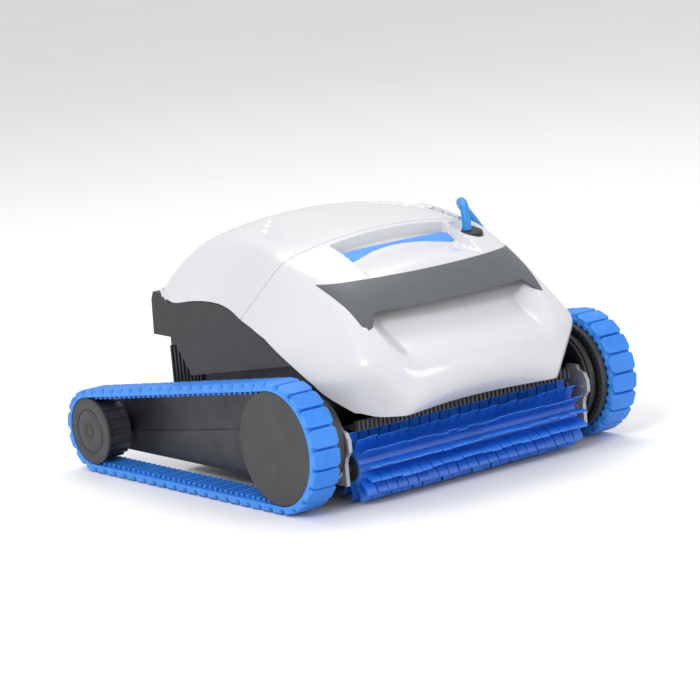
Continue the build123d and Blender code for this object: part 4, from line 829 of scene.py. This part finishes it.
# %% [markdown]
# ## The brush
# The brush is a soft polymer sleeve with long combs. Each comb is cut into tabs that wear and bend a little, each in
# its own way, so their tips step. A comb is a thin slab whose height drops to a slit between two tabs.

# %% Brush
BRUSH_AXIS = middle("brush_core")[1:]
BRUSH_TIP, SLEEVE, BLADES, TABS = 34.0, 16.0, 14, 22
BRUSH_HALF = float((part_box("brush_combs")[1][0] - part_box("brush_combs")[0][0]) / 2 / MM)


def scatter(values, seed):
    """Repeatable scatter from -1 to 1: the fraction of a large sine."""
    return 2 * np.mod(np.abs(np.sin(values * 12.9898 + seed * 78.233)) * 43758.5453, 1.0) - 1


def comb(index):
    """One comb: stations along X, and at each a section that goes up one face, over the tip and down the other."""
    stops = np.array([0.0, 0.055, 0.056, 0.12, 0.5, 0.88, 0.944, 0.945, 1.0])
    tab = np.repeat(np.arange(TABS), len(stops)).astype(float)
    share = np.tile(stops, TABS)
    offset = 0.5 if index % 2 else 0.0
    x = -BRUSH_HALF + (tab + share) * 2 * BRUSH_HALF / TABS
    slit = (share < 0.0555) | (share > 0.9445)
    lean = np.radians(2.6 * scatter(tab + offset, index + 1)) + np.radians(1.2) * np.sin(x / 41.0 + index)
    tip = np.where(slit, 24.5 + 0.4 * scatter(tab, index), BRUSH_TIP - 0.5 - 0.5 * np.abs(scatter(tab, index + 40)))
    rise = np.array([0.0, 0.25, 0.5, 0.8, 0.97, 1.0, 1.0, 0.97, 0.8, 0.5, 0.25, 0.0])[None, :]
    thick = np.array([1.25, 1.1, 0.95, 0.75, 0.6, 0.25, -0.25, -0.6, -0.75, -0.95, -1.1, -1.25])[None, :]
    base = SLEEVE - 1.0
    reach = base + (tip[:, None] - base) * rise
    bend = lean[:, None] * np.clip((reach - 20) / 14, 0, 1) ** 1.4 + math.radians(5) * (rise * (reach - base) / 18) ** 2
    turn = 2 * math.pi * index / BLADES + math.pi / 2 + bend
    side = np.stack([-np.sin(turn), np.cos(turn)], -1) * thick[..., None]
    line = np.stack([np.cos(turn), np.sin(turn)], -1) * reach[..., None] + side + BRUSH_AXIS
    return np.concatenate([np.broadcast_to(x[:, None, None], (*reach.shape, 1)), line], -1)


def turned(profile, side, axis, steps=96):
    """A closed ring of profile points (x, radius) carried round an axis that runs along X."""
    profile = np.asarray(profile, float)
    turn = np.linspace(0, 2 * math.pi, steps, endpoint=False)[:, None]
    x = np.broadcast_to(side * profile[:, 0], (steps, len(profile)))
    return np.stack([x, axis[0] + profile[:, 1] * np.cos(turn), axis[1] + profile[:, 1] * np.sin(turn)], -1)


def make_brush():
    """All the combs and their sleeve in one mesh, so that the brush turns as one piece."""
    blocks, faces, count = [], [], 0
    for index in range(BLADES):
        points = comb(index)
        rows, columns = points.shape[:2]
        faces += grid_quads(rows, columns, start=count, close_columns=True).tolist()
        faces.append(list(range(count, count + columns))[::-1])
        faces.append(list(range(count + (rows - 1) * columns, count + rows * columns)))
        blocks.append(points.reshape(-1, 3))
        count += rows * columns
    sleeve = turned([(-BRUSH_HALF, 12.6), (-BRUSH_HALF, 15.4), (-BRUSH_HALF + 0.6, SLEEVE), (BRUSH_HALF - 0.6, SLEEVE),
                     (BRUSH_HALF, 15.4), (BRUSH_HALF, 12.6)], 1, BRUSH_AXIS)
    faces += grid_quads(*sleeve.shape[:2], start=count, close_rows=True, close_columns=True).tolist()
    blocks.append(sleeve.reshape(-1, 3))
    piece = mesh_piece("comb_brush", np.concatenate(blocks), faces, "brush", ["brush_combs"])
    dress(piece, "brush_blue")
    return piece


make_brush()

# %% [markdown]
# ## Wheel discs and caps
# These are lathe shapes. A profile of distance along the axle against radius is carried round, and its corners carry
# a small radius, because no moulding has a knife edge.

# %% Turned pieces
def make_turned(name, node, profile, side, axis, body, slot):
    """A piece from a profile turned round its axle, which takes the place of one CAD node."""
    points = turned(profile, side, axis)
    faces = grid_quads(*points.shape[:2], close_rows=True)
    piece = mesh_piece(name, points, faces.tolist(), body, [node])
    dress(piece, slot)
    return piece


DISC = [(194, 0.01), (194, 53.2), (194.2, 53.8), (194.6, 54), (196.2, 54), (196.7, 53.8), (196.95, 53.2), (197, 52.4),
        (196.9, 49.5), (196.8, 30), (196.75, 0.01)]
CAP = [(194, 0.01), (194, 33.1), (194.3, 33.7), (196.2, 33.7), (196.8, 33.4), (197, 32.6), (197, 23.3), (196.8, 22.7),
       (196.1, 22.4), (196.1, 21.6), (196.8, 21.2), (197, 20.6), (197, 7.2), (196.8, 6.8), (196.3, 6.5), (196.3, 5.7),
       (196.8, 5.4), (197, 4.8), (197, 0.01)]
for side, word in ((-1, "left"), (1, "right")):
    make_turned(f"wheel_cover_{word}", f"wheel_disc_{word}", DISC, side, FRONT_AXLE[1:], f"wheel_{word}", "dark_satin")
    make_turned(f"idler_cover_{word}", f"idler_cap_{word}", CAP, side, REAR_AXLE[1:], f"idler_{word}", "dark_satin")

# %% [markdown]
# ## Floor and light
# The robot stands on a plain pale floor. Three soft area lights stand in for the windows and cards of a studio: a
# key from the left front, a wide one overhead and a weak one in front. A pale room fills the shadows.

# %% Floor and light
def make_floor():
    """One large square just under the robot: the stage."""
    mesh = bpy.data.meshes.new("floor")
    reach, drop = 30, -0.0006
    corners = [(-reach, -reach, drop), (reach, -reach, drop), (reach, reach, drop), (-reach, reach, drop)]
    mesh.from_pydata(corners, [], [(0, 1, 2, 3)])
    floor = bpy.data.objects.new("floor", mesh)
    bpy.context.scene.collection.objects.link(floor)
    pale = finish("pale_floor", (0.86, 0.86, 0.87), (0.84, 0.84, 0.85), (0.55, 0.65), 1.5, 200, 0.02)
    floor.data.materials.append(pale)
    return floor


floor = make_floor()


def soft_light(name, place, target, size, power):
    """A square area light of that size at a place, turned to its target."""
    light = bpy.data.lights.new(name, "AREA")
    light.shape, light.size, light.size_y, light.energy = "RECTANGLE", size[0], size[1], power
    lamp = bpy.data.objects.new(name, light)
    bpy.context.scene.collection.objects.link(lamp)
    way = np.array(target, float) - np.array(place, float)
    lamp.location = place
    lamp.rotation_euler = Vector(way).to_track_quat("-Z", "Y").to_euler()
    return lamp


soft_light("key_light", (-2.4, -1.4, 2.3), (0, 0, 0.1), (1.0, 1.4), 52)
soft_light("top_light", (0.4, 0.9, 2.6), (0, 0, 0.1), (2.2, 1.6), 34)
soft_light("front_light", (1.3, -2.8, 1.0), (0, 0, 0.12), (0.7, 1.5), 16)
world = bpy.data.worlds.new("room")
world.use_nodes = True
world.node_tree.nodes["Background"].inputs[0].default_value = (1, 1, 1, 1)
world.node_tree.nodes["Background"].inputs[1].default_value = 0.78
bpy.context.scene.world = world
bpy.context.scene.view_settings.view_transform = "Standard"
